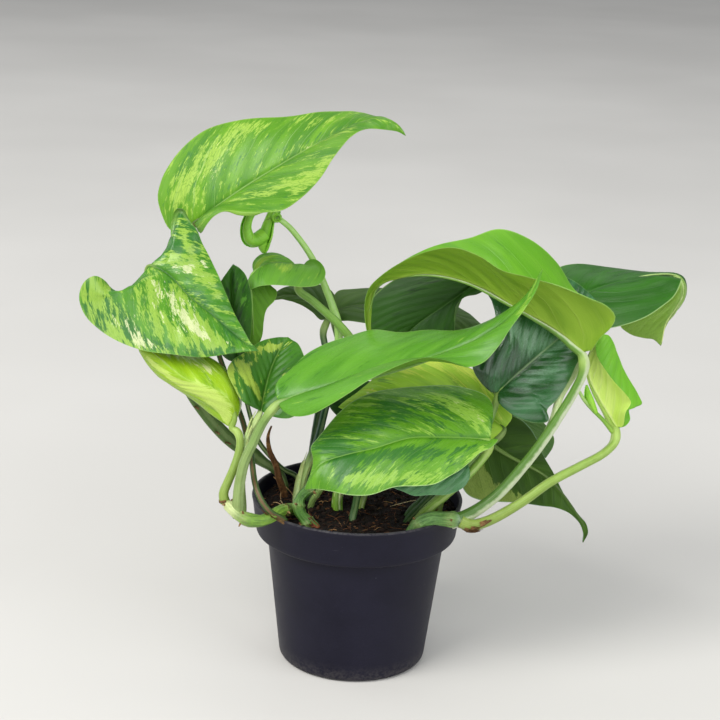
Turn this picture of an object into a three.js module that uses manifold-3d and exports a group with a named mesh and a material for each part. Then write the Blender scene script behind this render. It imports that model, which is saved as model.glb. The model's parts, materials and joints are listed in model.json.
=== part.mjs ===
// Potted pothos plant in a round nursery pot.
// Millimetres, +Z up. The origin is the centre of the pot's underside, on the surface the
// pot stands on. -Y is the side the plant is looked at from, +X is to the right of it.
//
// Every leaf is one piece, blade and petiole together, as it grew. A blade is laid out on
// three curves that all run from the petiole to the tip: its midrib and its two margins.
// Short vine stems carry the leaves that leave the pot over its rim.

import * as THREE from 'three';
import { mergeVertices } from 'three/addons/utils/BufferGeometryUtils.js';
import Module from 'manifold-3d';

// ---------------------------------------------------------------- driving dimensions
const POT_HEIGHT = 97.5;
const RIM_RADIUS = 60;          // 12 cm nursery pot, outside of the rim
const BAND_HEIGHT = 21.3;       // the wide band below the rim
const BAND_RADIUS = 57.3;       // outside of the band at its lower edge
const NECK_RADIUS = 51.2;       // wall just below the band
const BASE_RADIUS = 42.4;
const FOOT_ROUND = 3;
const WALL = 1.3;
const FLOOR = 2;
const POT_SEGMENTS = 44;
const SLOT_COUNT = 6;           // drainage slots where the wall meets the floor
const SLOT_WIDTH = 14;
const SLOT_HEIGHT = 2.4;
const SLOT_INNER = 35;          // the slots start this far from the axis
const SOIL_TOP = 90;            // mean height of the soil surface
const GAP = 0.35;               // clearance between pieces that touch
const BLADE_THICKNESS = 1.2;
const PETIOLE_SIDES = 6;
const STEM_SIDES = 7;
const MARGIN_POWER = 0.62;      // margins run ahead of the midrib, as the side veins do

// Points of each leaf: midrib, left margin and right margin from the petiole to the tip
// (left and right as seen on the upper side with the tip away), and the petiole's route
// from its foot to the blade. r is the petiole's radius at its foot and at the blade.
const LEAVES = {
  leaf_top: {
    rows: 12, arch: 0.06, r: [2, 1.6],
    mid: [
      [-97.6, 28, 246.1], [-88.5, 26, 253.2], [-71.8, 24, 266.2], [-49.7, 21, 281.7], [-27.9, 16, 296.3], [-6.4, 9, 309.3],
      [7, 4, 312.8], [14.1, 1, 309.8], [18.6, 0, 304.2]],
    left: [
      [-97.6, 28, 246.1], [-103.5, 31, 241.2], [-111.4, 36, 239.1], [-117.3, 43, 246.1], [-120.3, 48, 254.8], [-119.5, 51, 261.7],
      [-116.9, 53, 269], [-108.7, 55, 281.6], [-94.5, 55, 293.6], [-74.4, 51, 300.2], [-45.9, 43, 304.4], [-26.2, 35, 309.2],
      [-5.5, 22, 311.6], [9.8, 7, 310.8], [18.6, 0, 304.2]],
    right: [
      [-97.6, 28, 246.1], [-93.8, 24, 240.8], [-89.4, 18, 247.5], [-85.1, 13, 253.3], [-77.5, 7, 258.3], [-64.4, 0, 259.5],
      [-47.7, -7, 262.5], [-37, -10, 270.2], [-27.6, -11, 280], [-19.9, -10, 291.5], [-11.3, -7, 303.1], [-4, -4, 307.2],
      [5.6, -2, 307.8], [14.2, 0, 306.4], [18.6, 0, 304.2]],
    petiole: [
      [-42.3, -44.5, 99.6], [-47.2, -47, 103.3], [-52.3, -45, 109.3], [-55.9, -39, 115.6], [-57.9, -31, 121.3], [-59.5, -21, 125.8],
      [-62.4, -9, 129.6], [-66.2, 3, 137.2], [-71.1, 13, 145.6], [-76.4, 20, 156.4], [-81.6, 25, 167.8], [-87.3, 28, 186.4],
      [-92.4, 31, 206], [-96.2, 33, 225.9], [-98.4, 31, 239.6], [-97.6, 28, 246.1]],
  },
  leaf_left_variegated: {
    rows: 12, arch: 0.07, r: [2.6, 1.7],
    mid: [
      [-118.7, 4, 226.9], [-107.7, 0, 221.5], [-96.1, -5, 211.4], [-84.6, -9, 203.8], [-73.3, -12, 195.4], [-63.1, -14, 187.8],
      [-57, -15, 185]],
    left: [
      [-118.7, 4, 226.9], [-114.2, 8, 230.1], [-110.4, 13, 234.2], [-109.2, 17, 240.1], [-107.9, 20, 247.5], [-104.6, 20, 252.2],
      [-100, 18, 250.5], [-95.2, 15, 245.1], [-91.6, 13, 237.8], [-86.7, 9, 230.9], [-81.7, 4, 222.1], [-76.1, -1, 212.2],
      [-69.3, -8, 200.2], [-62.1, -13, 189.3], [-57, -15, 185]],
    right: [
      [-118.7, 4, 226.9], [-124.3, 0, 219.7], [-130.4, -4, 214.8], [-136.8, -9, 213.1], [-141.3, -15, 221.2], [-146.5, -20, 225.1],
      [-151.3, -24, 222.6], [-153.7, -26, 214.6], [-150.3, -28, 205.3], [-142.1, -29, 197.5], [-131.2, -30, 191.5], [-117.6, -30, 187],
      [-104.1, -30, 185.8], [-88.1, -28, 184.2], [-73.3, -23, 185], [-64.4, -18, 185], [-57, -15, 185]],
    petiole: [
      [-43, 25, 81], [-43, 25, 90], [-46, 27, 98], [-56.4, 27, 105.3], [-63.3, 25, 111.4], [-70.8, 23, 116.1],
      [-79.5, 21, 124.4], [-89.3, 19, 136.9], [-97.9, 18, 150.1], [-105.9, 17, 168], [-113.3, 16, 188.7], [-118.1, 13, 206.8],
      [-119.8, 8, 219.6], [-118.7, 4, 226.9]],
  },
  leaf_left_low: {
    rows: 10, arch: 0.1, r: [2.3, 1.7],
    mid: [
      [-71.3, -26, 144], [-68.6, -27, 151.5], [-70.8, -29, 159.5], [-76.8, -30, 165.3], [-85, -30, 169], [-94.3, -29, 171.2],
      [-102.2, -27, 175.9], [-111.4, -23, 182.3], [-123.3, -16, 187.1]],
    left: [
      [-71.3, -26, 144], [-75.8, -25, 146.4], [-80.9, -24, 149.4], [-88.3, -22, 154.2], [-96.7, -21, 159.3], [-105.1, -20, 164.4],
      [-113.6, -18, 170.9], [-119.4, -16, 177.5], [-122.8, -15, 182.8], [-123.3, -16, 187.1]],
    right: [
      [-71.3, -26, 144], [-69.4, -23, 146], [-67.6, -19, 151.1], [-66.9, -15, 156.8], [-69, -11, 162.4], [-73.2, -8, 168.3],
      [-79.1, -5, 173.5], [-87.6, -4, 178.1], [-98.7, -4, 181.7], [-112.1, -8, 185.2], [-123.3, -16, 187.1]],
    petiole: [
      [-72.2, -41, 105.7], [-73.4, -41, 110.4], [-71.5, -39, 115.5], [-68.5, -37, 123.1], [-66.1, -34, 130.8], [-65.3, -31, 137.9],
      [-67.3, -28, 142.6], [-71.3, -26, 144]],
  },
  leaf_left_dark: {
    rows: 8, arch: 0.08, r: [1.6, 1.2],
    mid: [
      [-70.3, 12, 169.8], [-72.6, 16, 184.5], [-74.2, 19, 201.2], [-75.1, 20, 214.3], [-74.5, 18, 225.2]],
    left: [
      [-70.3, 12, 169.8], [-76.1, 13, 170.5], [-82.6, 15, 176.7], [-86.3, 17, 186.6], [-87.1, 18, 198], [-84.5, 19, 208.3],
      [-80.1, 19, 216.7], [-74.5, 18, 225.2]],
    right: [
      [-70.3, 12, 169.8], [-65.7, 10, 174.8], [-63.6, 9, 184], [-62.7, 9, 194.5], [-62.9, 9, 205.5], [-64.3, 11, 213.6],
      [-66.9, 14, 220.2], [-70.4, 16, 223.6], [-74.5, 18, 225.2]],
    petiole: [
      [-33, 25, 81], [-33, 25, 90], [-36, 24, 98], [-43.7, 20, 103.5], [-51.2, 16, 112.7], [-58.1, 12, 123.6],
      [-62.7, 9, 139.5], [-66.4, 9, 154.3], [-69.5, 10, 164.6], [-70.3, 12, 169.8]],
  },
  leaf_centre_curled: {
    rows: 12, arch: 0.1, r: [2.3, 1.6],
    mid: [
      [-36.6, 40, 215.4], [-41.2, 38, 221.6], [-48, 36, 224.2], [-54.7, 33, 223.5], [-59.4, 29, 218.4], [-61.9, 26, 208.6],
      [-62, 24, 192.7], [-62.6, 22, 175.4]],
    left: [
      [-36.6, 40, 215.4], [-34.6, 42, 222.7], [-30, 40, 224.5], [-24.6, 36, 222.2], [-22.6, 31, 217.1], [-26.8, 27, 212.1],
      [-37, 25, 211.6], [-47.1, 23, 213.5], [-55.9, 19, 214.1], [-62.5, 18, 211.8], [-64.7, 19, 203.3], [-64.5, 21, 188.7],
      [-62.6, 22, 175.4]],
    right: [
      [-36.6, 40, 215.4], [-40.9, 45, 219.3], [-45.2, 49, 219.3], [-50, 51, 222.2], [-56.9, 50, 224], [-60.1, 47, 221],
      [-56.3, 44, 213], [-51.3, 41, 206.3], [-53.4, 38, 202.2], [-57.6, 33, 199.8], [-58.8, 28, 191.7], [-59.5, 25, 181.8],
      [-62.6, 22, 175.4]],
    petiole: [
      [-11.2, -6.8, 81], [-11.2, -6.8, 90], [-11.4, -6, 95.7], [-9.1, 0, 106.9], [-5.2, 12, 120.9], [-2.1, 24, 140],
      [-1.8, 32, 160.5], [-5.3, 36, 175.4], [-14.4, 38, 186.5], [-22.7, 40, 193.4], [-31, 42, 199.7], [-38.7, 42, 205.3],
      [-38.2, 41, 210.9], [-36.6, 40, 215.4]],
  },
  leaf_back_small: {
    rows: 8, arch: 0.06, r: [2, 1.6],
    mid: [
      [-21.1, 52, 186.5], [-28.5, 58, 192.4], [-37.6, 62, 195.9], [-47.1, 64, 196.2], [-58.1, 62, 192.6]],
    left: [
      [-21.1, 52, 186.5], [-25.2, 52, 185.1], [-30.6, 54, 189.2], [-37.9, 57, 192.9], [-46.9, 60, 194.2], [-58.1, 62, 192.6]],
    right: [
      [-21.1, 52, 186.5], [-16.8, 60, 191.1], [-18.3, 66, 197.4], [-26.9, 70, 201.5], [-38.7, 71, 200.8], [-48, 69, 199.1],
      [-54.3, 66, 195.9], [-58.1, 62, 192.6]],
    petiole: [
      [-27, 5, 81], [-27, 5, 90], [-27.5, 9, 100.3], [-27.4, 15, 108.5], [-26.3, 24, 120.6], [-24.2, 33, 136.1],
      [-22, 40, 152.3], [-21.5, 46, 167.5], [-23.7, 49, 178.7], [-21.1, 52, 186.5]],
  },
  leaf_back_long: {
    rows: 9, arch: 0.06, r: [1.7, 1.4],
    mid: [
      [-18.5, 62, 187.5], [-8.6, 66, 190.5], [14.9, 68, 192.1], [38.6, 66, 191.1], [56.3, 62, 188.1], [70.5, 58, 183.6]],
    left: [
      [-18.5, 62, 187.5], [-19.4, 68, 192.5], [-16.2, 76, 196.7], [-8, 82, 196.7], [7.6, 88, 197], [26.9, 90, 196],
      [44.9, 84, 193.3], [59.7, 72, 188.5], [70.5, 58, 183.6]],
    right: [
      [-18.5, 62, 187.5], [-15.3, 58, 183.8], [-8.2, 54, 184.6], [6.5, 50, 183.9], [26.9, 46, 182.9], [44.4, 46, 181.2],
      [59.2, 52, 181.2], [70.5, 58, 183.6]],
    petiole: [
      [-2.4, -21, 81], [-2.4, -21, 90], [-0.6, -14, 97.5], [0.1, -2, 106.8], [-2.6, 20, 123], [-7.1, 38, 144.3],
      [-12.9, 52, 167.3], [-16.9, 58, 178.9], [-18.5, 62, 187.5]],
  },
  leaf_left_round: {
    rows: 10, arch: 0.08, r: [1.8, 1.4],
    mid: [
      [-54.8, -20, 152], [-53.8, -13, 159], [-51.8, -3, 167.6], [-48.1, 7, 176.4], [-42.6, 15, 184.8]],
    left: [
      [-54.8, -20, 152], [-60.7, -24, 156], [-65.6, -26, 159.9], [-69.7, -24, 166.6], [-73.6, -18, 174.3], [-72.1, -10, 177.1],
      [-68.3, -2, 178.3], [-63.2, 5, 179.9], [-57, 11, 183.1], [-49.3, 14, 184.2], [-42.6, 15, 184.8]],
    right: [
      [-54.8, -20, 152], [-47.4, -24, 150.2], [-38.5, -25, 150.3], [-31.6, -23, 155.1], [-28.3, -15, 163], [-29.5, -5, 170.9],
      [-32.8, 3, 178.2], [-36.6, 10, 183], [-42.6, 15, 184.8]],
    petiole: [
      [-62.3, -41, 103.2], [-63.3, -38, 112], [-63.7, -34, 122.2], [-63.1, -30, 130.7], [-61.3, -26, 137.5], [-58.4, -23, 145.3],
      [-54.8, -20, 152]],
  },
  leaf_front_long: {
    rows: 12, arch: 0.07, r: [2.7, 1.9],
    mid: [
      [-44.1, -40, 164.3], [-32.9, -40, 169.3], [-16.9, -40, 174.4], [-1, -39, 179.3], [14.9, -38, 183.5], [36.1, -36, 191.7],
      [57.1, -35, 200.6], [74, -36, 212.1], [86.2, -39, 226.7], [92.6, -43, 244.3]],
    left: [
      [-44.1, -40, 164.3], [-46.5, -37, 168.9], [-45.8, -33, 173.3], [-39.3, -25, 177.9], [-31.6, -16, 184], [-21, -8, 188.4],
      [-9.1, -3, 192], [4.6, -1, 196], [20.1, -4, 195.8], [36.4, -9, 199], [52.6, -14, 201.1], [65.5, -20, 207.8],
      [77, -27, 217.5], [86.4, -35, 228.9], [92.6, -43, 244.3]],
    right: [
      [-44.1, -40, 164.3], [-42.7, -44, 161.7], [-36.5, -50, 160], [-26.7, -55, 162.7], [-16.2, -59, 170], [-5.9, -62, 178.1],
      [4.3, -64, 186.3], [18.6, -65, 194.8], [32.5, -62, 198.8], [43.2, -57, 196.7], [55.7, -52, 191.8], [64.2, -49, 194],
      [71.4, -46, 201.7], [77.2, -45, 211], [84.5, -44, 221.9], [89.7, -43, 232.8], [92.6, -43, 244.3]],
    petiole: [
      [-64.7, -45, 101.2], [-64.8, -45, 108.8], [-64, -44, 120.1], [-61.6, -43, 131.4], [-58, -42, 139.8], [-52.9, -41, 151.7],
      [-48.2, -41, 159.3], [-44.1, -40, 164.3]],
  },
  leaf_right_arching: {
    rows: 14, arch: 0.05, r: [2.9, 2.1],
    mid: [
      [119.3, -24, 194.2], [110.2, -22, 201.8], [98, -20, 209.2], [84.3, -17, 215.1], [65, -12, 224.8], [45.9, -6, 229.2],
      [32.4, -2, 229.4], [18.8, 2, 225.5], [8.6, 6, 220.7], [3.8, 8, 215.4], [2.4, 8, 206.7], [2.4, 6, 193.3],
      [6.2, 3, 181.6]],
    left: [
      [119.3, -24, 194.2], [122.7, -26, 195.5], [127, -30, 204.2], [132.4, -34, 212.3], [133.2, -36, 218.4], [127.9, -37, 224],
      [119.2, -37, 227.5], [102.9, -36, 233.7], [86.8, -35, 237.7], [72, -33, 240.4], [60.2, -29, 246.6], [46.9, -24, 249.8],
      [33.9, -17, 246], [19.4, -8, 236.5], [8.9, -1, 227], [2, 3, 217.8], [0.2, 4, 208.2], [1.2, 3, 195.3],
      [6.2, 3, 181.6]],
    right: [
      [119.3, -24, 194.2], [124.5, -18, 198.3], [128.1, -10, 205.9], [124.8, -4, 215.4], [115.2, 4, 222.1], [105, 11, 235.3],
      [90.2, 15, 246.2], [73.4, 17, 250.8], [57, 16, 245.8], [40.5, 15, 242], [26.8, 14, 236], [16.6, 13, 229],
      [8.4, 11, 223.4], [4.8, 10, 216.6], [4.1, 9, 206.5], [4.1, 6, 193.4], [6.2, 3, 181.6]],
    petiole: [
      [56.2, -42, 101.5], [67.4, -40, 107.7], [78, -38, 116.7], [88.3, -36, 129.2], [98.4, -34, 143.4], [108.5, -31, 160.1],
      [115.9, -29, 174.1], [120.1, -27, 185.6], [119.3, -24, 194.2]],
  },
  leaf_centre_hanging: {
    rows: 10, arch: 0.07, r: [1.9, 1.5],
    mid: [
      [68.8, 26, 223.2], [61.9, 27, 216.8], [45.6, 29, 203.3], [28.7, 30, 189.3], [16.7, 30, 175.1]],
    left: [
      [68.8, 26, 223.2], [69.6, 23, 217], [63.6, 22, 212.3], [56.4, 22, 210.3], [51.5, 22, 205.4], [51.2, 24, 197.2],
      [51.4, 25, 188.1], [46.3, 26, 177.5], [32.9, 28, 171.5], [16.7, 30, 175.1]],
    right: [
      [68.8, 26, 223.2], [66.5, 31, 228.8], [55.8, 35, 230.3], [41.9, 37, 226.4], [25.1, 37, 219.8], [10.6, 36, 210.6],
      [1.9, 35, 199.9], [1.2, 33, 188.5], [6.2, 31, 179.2], [16.7, 30, 175.1]],
    petiole: [
      [36, -2, 81], [36, -2, 90], [39, 0, 100], [53.7, 4, 108], [63.4, 10, 123.2], [72.9, 18, 145.1],
      [78.9, 25, 167.1], [80.7, 30, 189.6], [76.7, 31, 209.9], [68.8, 26, 223.2]],
  },
  leaf_right_dark: {
    rows: 12, arch: 0.07, r: [2, 1.6],
    mid: [
      [76.8, -10, 166.3], [84.7, -8, 174.2], [94.5, -4, 182.6], [104.8, 0, 191.1], [117.5, 6, 200.9], [130, 12, 213.6]],
    left: [
      [76.8, -10, 166.3], [72.8, -12, 165.1], [67.6, -12, 168.9], [62.3, -11, 175.3], [60.4, -10, 180.7], [61.3, -6, 187.6],
      [66.7, 0, 195.9], [72.7, 5, 203.4], [70.9, 10, 210.6], [67.4, 14, 216.9], [75, 19, 225.2], [94.6, 21, 228.4],
      [115.3, 17, 223.8], [130, 12, 213.6]],
    right: [
      [76.8, -10, 166.3], [75.7, -14, 161.2], [80.2, -17, 157.1], [87.4, -19, 153.4], [97, -19, 150.9], [103.6, -18, 152],
      [102.5, -15, 156.8], [108.5, -11, 162.7], [115.6, -5, 172.7], [120, 0, 180.7], [125.5, 5, 189.3], [130.8, 9, 198.8],
      [132.6, 11, 207.6], [130, 12, 213.6]],
    petiole: [
      [38, -17, 81], [38, -17, 90], [41, -18, 98], [49, -20, 105.6], [57.8, -20, 119], [66.9, -18, 136.4],
      [72.5, -13, 150.8], [75, -10, 159.2], [76.8, -10, 166.3]],
  },
  leaf_right_far: {
    rows: 14, arch: 0.05, r: [2.3, 1.6],
    mid: [
      [119.1, 42, 205.7], [135.1, 46, 213], [158.2, 50, 218.9], [174.2, 50, 221.3], [181.6, 48, 219.1], [184.8, 46, 212.1],
      [181.8, 44, 202.9], [177.2, 42, 192.5], [172.1, 40, 180.8]],
    left: [
      [119.1, 42, 205.7], [112.7, 52, 211.8], [110.8, 62, 218.2], [122.5, 69, 220.5], [143.7, 73, 218.5], [164, 70, 217.1],
      [177.6, 63, 217.6], [184.9, 57, 217.6], [187.4, 55, 212.2], [186.5, 53, 204.9], [182, 49, 196.7], [176.3, 45, 188.6],
      [172.1, 40, 180.8]],
    right: [
      [119.1, 42, 205.7], [120, 34, 197.2], [128.8, 28, 193.3], [140.9, 25, 194.7], [156.5, 26, 199.8], [167.8, 30, 207.4],
      [176.1, 36, 214.3], [179.3, 43, 216.8], [176.5, 51, 209.2], [167.5, 54, 197.8], [157.7, 54, 189.5], [153, 52, 186.3],
      [159.9, 49, 183.1], [166.8, 45, 183.4], [172.1, 40, 180.8]],
    petiole: [
      [59.8, -36, 100.4], [67.9, -33, 104.9], [78.7, -30, 113.7], [89.2, -26, 125.5], [99.8, -21, 138.9], [106.7, -15, 151.1],
      [110.4, -8, 163], [119.4, 6, 173.5], [124.8, 22, 184.8], [124.1, 34, 196.2], [119.1, 42, 205.7]],
  },
  leaf_right_young: {
    rows: 10, arch: 0.12, r: [2.5, 1.9],
    mid: [
      [143.7, -6, 146], [137.8, -8, 154.7], [131.3, -9, 164.7], [126.3, -8, 174.1], [124.8, -6, 182.7], [127.1, -4, 190.9],
      [131.2, -2, 198.5]],
    left: [
      [143.7, -6, 146], [146.1, -12, 148.8], [146.4, -17, 158.1], [148.1, -20, 165.5], [144.5, -20, 170], [138.6, -19, 176.4],
      [133.5, -17, 182.4], [129.1, -13, 187.9], [128.2, -8, 193.3], [131.2, -2, 198.5]],
    right: [
      [143.7, -6, 146], [150.2, -3, 146.4], [155.3, 1, 153], [158, 3, 157.8], [155.6, 4, 160.9], [151.6, 4, 168.4],
      [147, 4, 176.5], [141.6, 3, 187.1], [136.2, 1, 196.7], [131.2, -2, 198.5]],
    petiole: [
      [62.8, -44, 99.1], [73.2, -41, 101.3], [89.4, -37, 110.3], [105.7, -31, 121.1], [122.4, -24, 128.5], [136.2, -16, 133.9],
      [142.8, -9, 138.7], [143.7, -6, 146]],
  },
  leaf_right_drooping: {
    rows: 12, arch: 0.05, r: [2, 1.5],
    mid: [
      [72.9, 4, 130.6], [86.2, 1, 123.2], [98.3, -1, 117.8], [106.4, -3, 113.5], [115.8, -6, 104.7], [123.5, -9, 95.3],
      [129.1, -10, 87.4], [129.3, -10, 77]],
    left: [
      [72.9, 4, 130.6], [65.2, 3, 125.8], [59.9, 1, 116.7], [58.6, -2, 108.1], [62.2, -4, 101.7], [69.6, -6, 99.1],
      [81, -7, 98.8], [92.2, -8, 99], [103.5, -9, 98.1], [111.9, -10, 97.6], [119.5, -10, 94.9], [126.1, -10, 89.1],
      [128.8, -10, 83.1], [129.3, -10, 77]],
    right: [
      [72.9, 4, 130.6], [70.4, 7, 138.5], [76.3, 9, 145.8], [89.5, 9, 144], [96.1, 9, 138.9], [101, 8, 131.6],
      [104.8, 6, 123.4], [112, 2, 113], [117.9, -3, 103], [123.7, -7, 95.7], [130.2, -9, 88.9], [131.7, -10, 83.2],
      [129.3, -10, 77]],
    petiole: [
      [46, -8, 81], [46, -8, 90], [48, -6, 99], [58.8, -3, 113.3], [65.8, 1, 123], [72.9, 4, 130.6]],
  },
  leaf_front_variegated: {
    rows: 12, arch: 0.07, r: [2.8, 2],
    mid: [
      [70.8, -38, 146.6], [59.7, -40, 148], [43.4, -43, 148.9], [27.1, -46, 148.8], [8.5, -50, 143.7], [-7.4, -53, 140.2],
      [-19.5, -55, 135.8], [-25.7, -56, 127.9], [-28.1, -57, 120.8]],
    left: [
      [70.8, -38, 146.6], [75.1, -38, 147.3], [71.8, -42, 144], [65.1, -47, 142.1], [59.8, -51, 138.2], [54.5, -54, 134.5],
      [49.1, -57, 132], [41.3, -59, 127.9], [32.2, -61, 127.1], [19.9, -63, 126.8], [6.8, -65, 122.5], [-3.9, -65, 122],
      [-14.6, -63, 123.1], [-23.3, -60, 122.7], [-28.1, -57, 120.8]],
    right: [
      [70.8, -38, 146.6], [71.3, -34, 151], [72.4, -28, 157], [71.8, -22, 162.5], [68, -18, 165.7], [57.1, -14, 168],
      [46, -13, 168.9], [32.2, -14, 168.1], [18.5, -16, 167], [7.5, -19, 165.2], [-3.3, -23, 160.9], [-11.2, -28, 155.3],
      [-17.4, -34, 149.6], [-22.5, -40, 144.6], [-26, -45, 141.1], [-24.5, -50, 135.5], [-25.8, -54, 127.8], [-28.1, -57, 120.8]],
    petiole: [
      [32, -29, 81], [32, -29, 90], [35.2, -31, 96.8], [41.4, -34, 106], [49.1, -36, 114.1], [55.9, -37, 121.3],
      [63.1, -36, 129.4], [69.2, -36, 138.3], [70.8, -38, 146.6]],
  },
  leaf_front_second: {
    rows: 10, arch: 0.1, r: [1.9, 1.5],
    mid: [
      [81.6, -1, 141.1], [67.2, 2, 150.2], [50, 1, 155.8], [33, 0, 157.8], [16.2, -4, 157.2], [0.6, -8, 155.5],
      [-12.6, -11, 153]],
    left: [
      [81.6, -1, 141.1], [74.3, -6, 135.4], [57.2, -11, 137.7], [39.1, -14, 140.3], [22.3, -16, 142.1], [6.6, -16, 145.6],
      [-4.7, -13, 149.9], [-12.6, -11, 153]],
    right: [
      [81.6, -1, 141.1], [85.5, 3, 147.1], [78.4, 5, 154.4], [70.3, 9, 162.3], [62.5, 11, 170.8], [55.7, 12, 172.6],
      [45.9, 13, 176], [32.9, 13, 176.3], [20.7, 11, 172.4], [9.6, 6, 167.3], [-0.8, -1, 160.2], [-7.8, -6, 155.7],
      [-12.6, -11, 153]],
    petiole: [
      [28, -10, 81], [28, -10, 90], [31, -9, 99], [46.7, -11, 101.3], [58.3, -10, 117.1], [70.1, -8, 130],
      [78.3, -4, 136.7], [81.6, -1, 141.1]],
  },
  leaf_front_small: {
    rows: 8, arch: 0.08, r: [1.6, 1.2],
    mid: [
      [59.6, -38, 132.3], [49.8, -41, 130.1], [36.3, -44, 127.2], [22.8, -46, 125.6], [9.7, -48, 125.8]],
    left: [
      [59.6, -38, 132.3], [60.8, -42, 126.8], [57.6, -46, 121.9], [52.8, -48, 119.5], [47.4, -49, 118], [39.3, -50, 118],
      [31.1, -52, 117.9], [25.6, -53, 120.3], [17.4, -52, 123.1], [9.7, -48, 125.8]],
    right: [
      [59.6, -38, 132.3], [56.9, -31, 137.7], [47.1, -26, 139.6], [33.4, -28, 137.4], [19.8, -36, 132.2], [9.7, -48, 125.8]],
    petiole: [
      [27, -20, 81], [27, -20, 90], [37.4, -22, 101.1], [45.7, -26, 112.5], [51.8, -29, 121], [56.2, -33, 127.9],
      [59.6, -38, 132.3]],
  },
  leaf_inner_dark: {
    rows: 8, arch: 0.08, r: [1.6, 1.3],
    mid: [
      [23.1, 18, 129.7], [6.6, 15, 140.9], [-9, 11, 148.3], [-19.9, 8, 153]],
    left: [
      [23.1, 18, 129.7], [15.2, 13, 126.3], [1.3, 9, 131.9], [-10.3, 6, 139.7], [-16.8, 6, 146], [-19.9, 8, 153]],
    right: [
      [23.1, 18, 129.7], [26.1, 24, 141.1], [15.3, 27, 151.9], [0.1, 24, 159.4], [-12.4, 17, 159.9], [-19.9, 8, 153]],
    petiole: [
      [2.4, -2.3, 81], [2.4, -2.3, 90], [4.9, -0, 99], [10.2, 5, 109.5], [17.8, 12, 119.4], [23.1, 18, 129.7]],
  },
  leaf_right_hidden: {
    rows: 8, arch: 0.08, r: [1.6, 1.3],
    mid: [
      [82.1, 14, 149.8], [92.7, 17, 139], [102.1, 18, 126.9], [107.8, 17, 117.7]],
    left: [
      [82.1, 14, 149.8], [82.2, 14, 137.8], [91, 15, 126.2], [100.2, 16, 118.9], [107.8, 17, 117.7]],
    right: [
      [82.1, 14, 149.8], [97.1, 20, 144.8], [106.3, 21, 137], [112, 20, 129], [111.6, 19, 123.8], [107.8, 17, 117.7]],
    petiole: [
      [44, 4, 81], [44, 4, 90], [46, 7, 99], [59.7, 14, 109.4], [70.5, 18, 126.8], [77.6, 17, 140.8],
      [82.1, 14, 149.8]],
  },
};

const STEMS = {
  vine_left: { path: [
      [-30, -13, 80], [-31, -15, 90], [-36, -27, 97.5], [-42.6, -40.5, 100.9], [-47.1, -46, 99.7], [-51.8, -49, 98.9],
      [-57.8, -49, 99], [-63.5, -47, 100.3], [-68.7, -44, 103.6], [-72.8, -41, 106.9]],
    r: [[0, 2.3], [0.25, 2.7], [0.45, 2.8], [0.68, 2.6], [0.76, 3.3], [0.82, 2.5], [0.95, 2.6], [1, 2.2]] },
  vine_right: { path: [
      [27, -41, 80], [30, -41, 90], [36, -41, 98.5], [42.6, -40, 100.7], [48, -41, 100.8], [53.4, -43, 101.5],
      [58.3, -43.5, 101.6]],
    r: [[0, 2.6], [0.3, 3.0], [0.7, 3.0], [0.9, 3.4], [1, 2.6]] },
  vine_centre: { path: [
      [-22, -37, 81], [-22.5, -37, 90], [-27.2, -37, 94.8], [-31.5, -36, 100.2], [-31.5, -34, 106.5], [-27.2, -33, 111.6],
      [-21.9, -33, 115.9]],
    r: [[0, 2.4], [0.2, 2.7], [0.35, 3.1], [0.45, 2.4], [0.6, 2.9], [0.7, 2.2], [0.9, 2.6], [1, 2.0]] },
  stem_stub: { path: [
      [-26.5, -5.5, 81], [-26.5, -5.5, 90], [-25, -7, 95.6], [-22.2, -9, 100.7], [-20.1, -10, 104.8]],
    r: [[0, 1.5], [1, 1.6]] },
  dry_petiole: { path: [
      [-42, 12, 81], [-42, 12, 90], [-45.3, 8, 102.4], [-47.2, 7, 110.6], [-50.7, 6, 118.7], [-52, 5, 126.3],
      [-51.4, 4, 131.5], [-50.1, 4, 135.1]],
    r: [[0, 1.9], [0.45, 1.9], [0.6, 1.7], [0.85, 1.0], [1, 0.5]] },
};

const ROLLED = [
  { path: [
      [-34.3, -3, 81], [-34.3, -3, 90], [-32.7, -3, 99.8], [-30.4, 3, 109.8], [-27.4, 9, 116.8], [-23.9, 18, 124.1],
      [-20.6, 27, 138.2], [-16.7, 36, 155], [-14.5, 43, 171.2], [-15, 46, 184.2], [-18.3, 48, 193.8], [-22.1, 50, 202.7],
      [-27.1, 50, 214.4], [-33.2, 48, 226], [-38.5, 46, 233.9], [-44.3, 44, 241.2], [-50, 42, 246.3], [-53.8, 42, 248.2]],
    r: [[0, 1.9], [0.5, 1.8], [0.62, 1.9], [0.75, 1.5], [1, 1.2]] },
  { path: [
      [-51.8, 42, 247.7], [-54.7, 42.5, 249.5], [-56.3, 43, 245], [-57.9, 43, 238.5], [-59.2, 42.5, 232.1], [-58.7, 42, 226.4]],
    r: [[0, 1.2], [0.2, 2.0], [0.5, 2.7], [0.75, 2.9], [0.92, 2.2], [1, 1.0]] },
  { path: [
      [-57.9, 43, 237.3], [-62.3, 41.5, 234], [-66.8, 40, 234.5], [-68.8, 40, 239.9], [-67.6, 41, 246.7], [-63.3, 42, 252.5]],
    r: [[0, 2.5], [0.2, 2.4], [0.4, 2.5], [0.7, 1.9], [1, 0.9]] },
];
// The crumbs and hollows of the soil surface: [x, y, height, spread].
const SOIL_BUMPS = [
  [-30, -34, 2.2, 12], [18, -40, 1.6, 14], [40, 14, -1.4, 16], [-8, 30, 1.8, 18],
  [-40, 18, -1.5, 12], [4, -12, -1.2, 12], [28, 34, 1.2, 14], [-16, -4, 1.0, 10],
];

// ---------------------------------------------------------------- helpers
const wasm = await Module();
wasm.setup();

const vec = (p) => new THREE.Vector3(p[0], p[1], p[2]);
const curveOf = (points) => {
  const curve = new THREE.CatmullRomCurve3(points.map((p) => (p.isVector3 ? p : vec(p))), false, 'centripetal');
  curve.arcLengthDivisions = 400;
  return curve;
};

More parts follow.
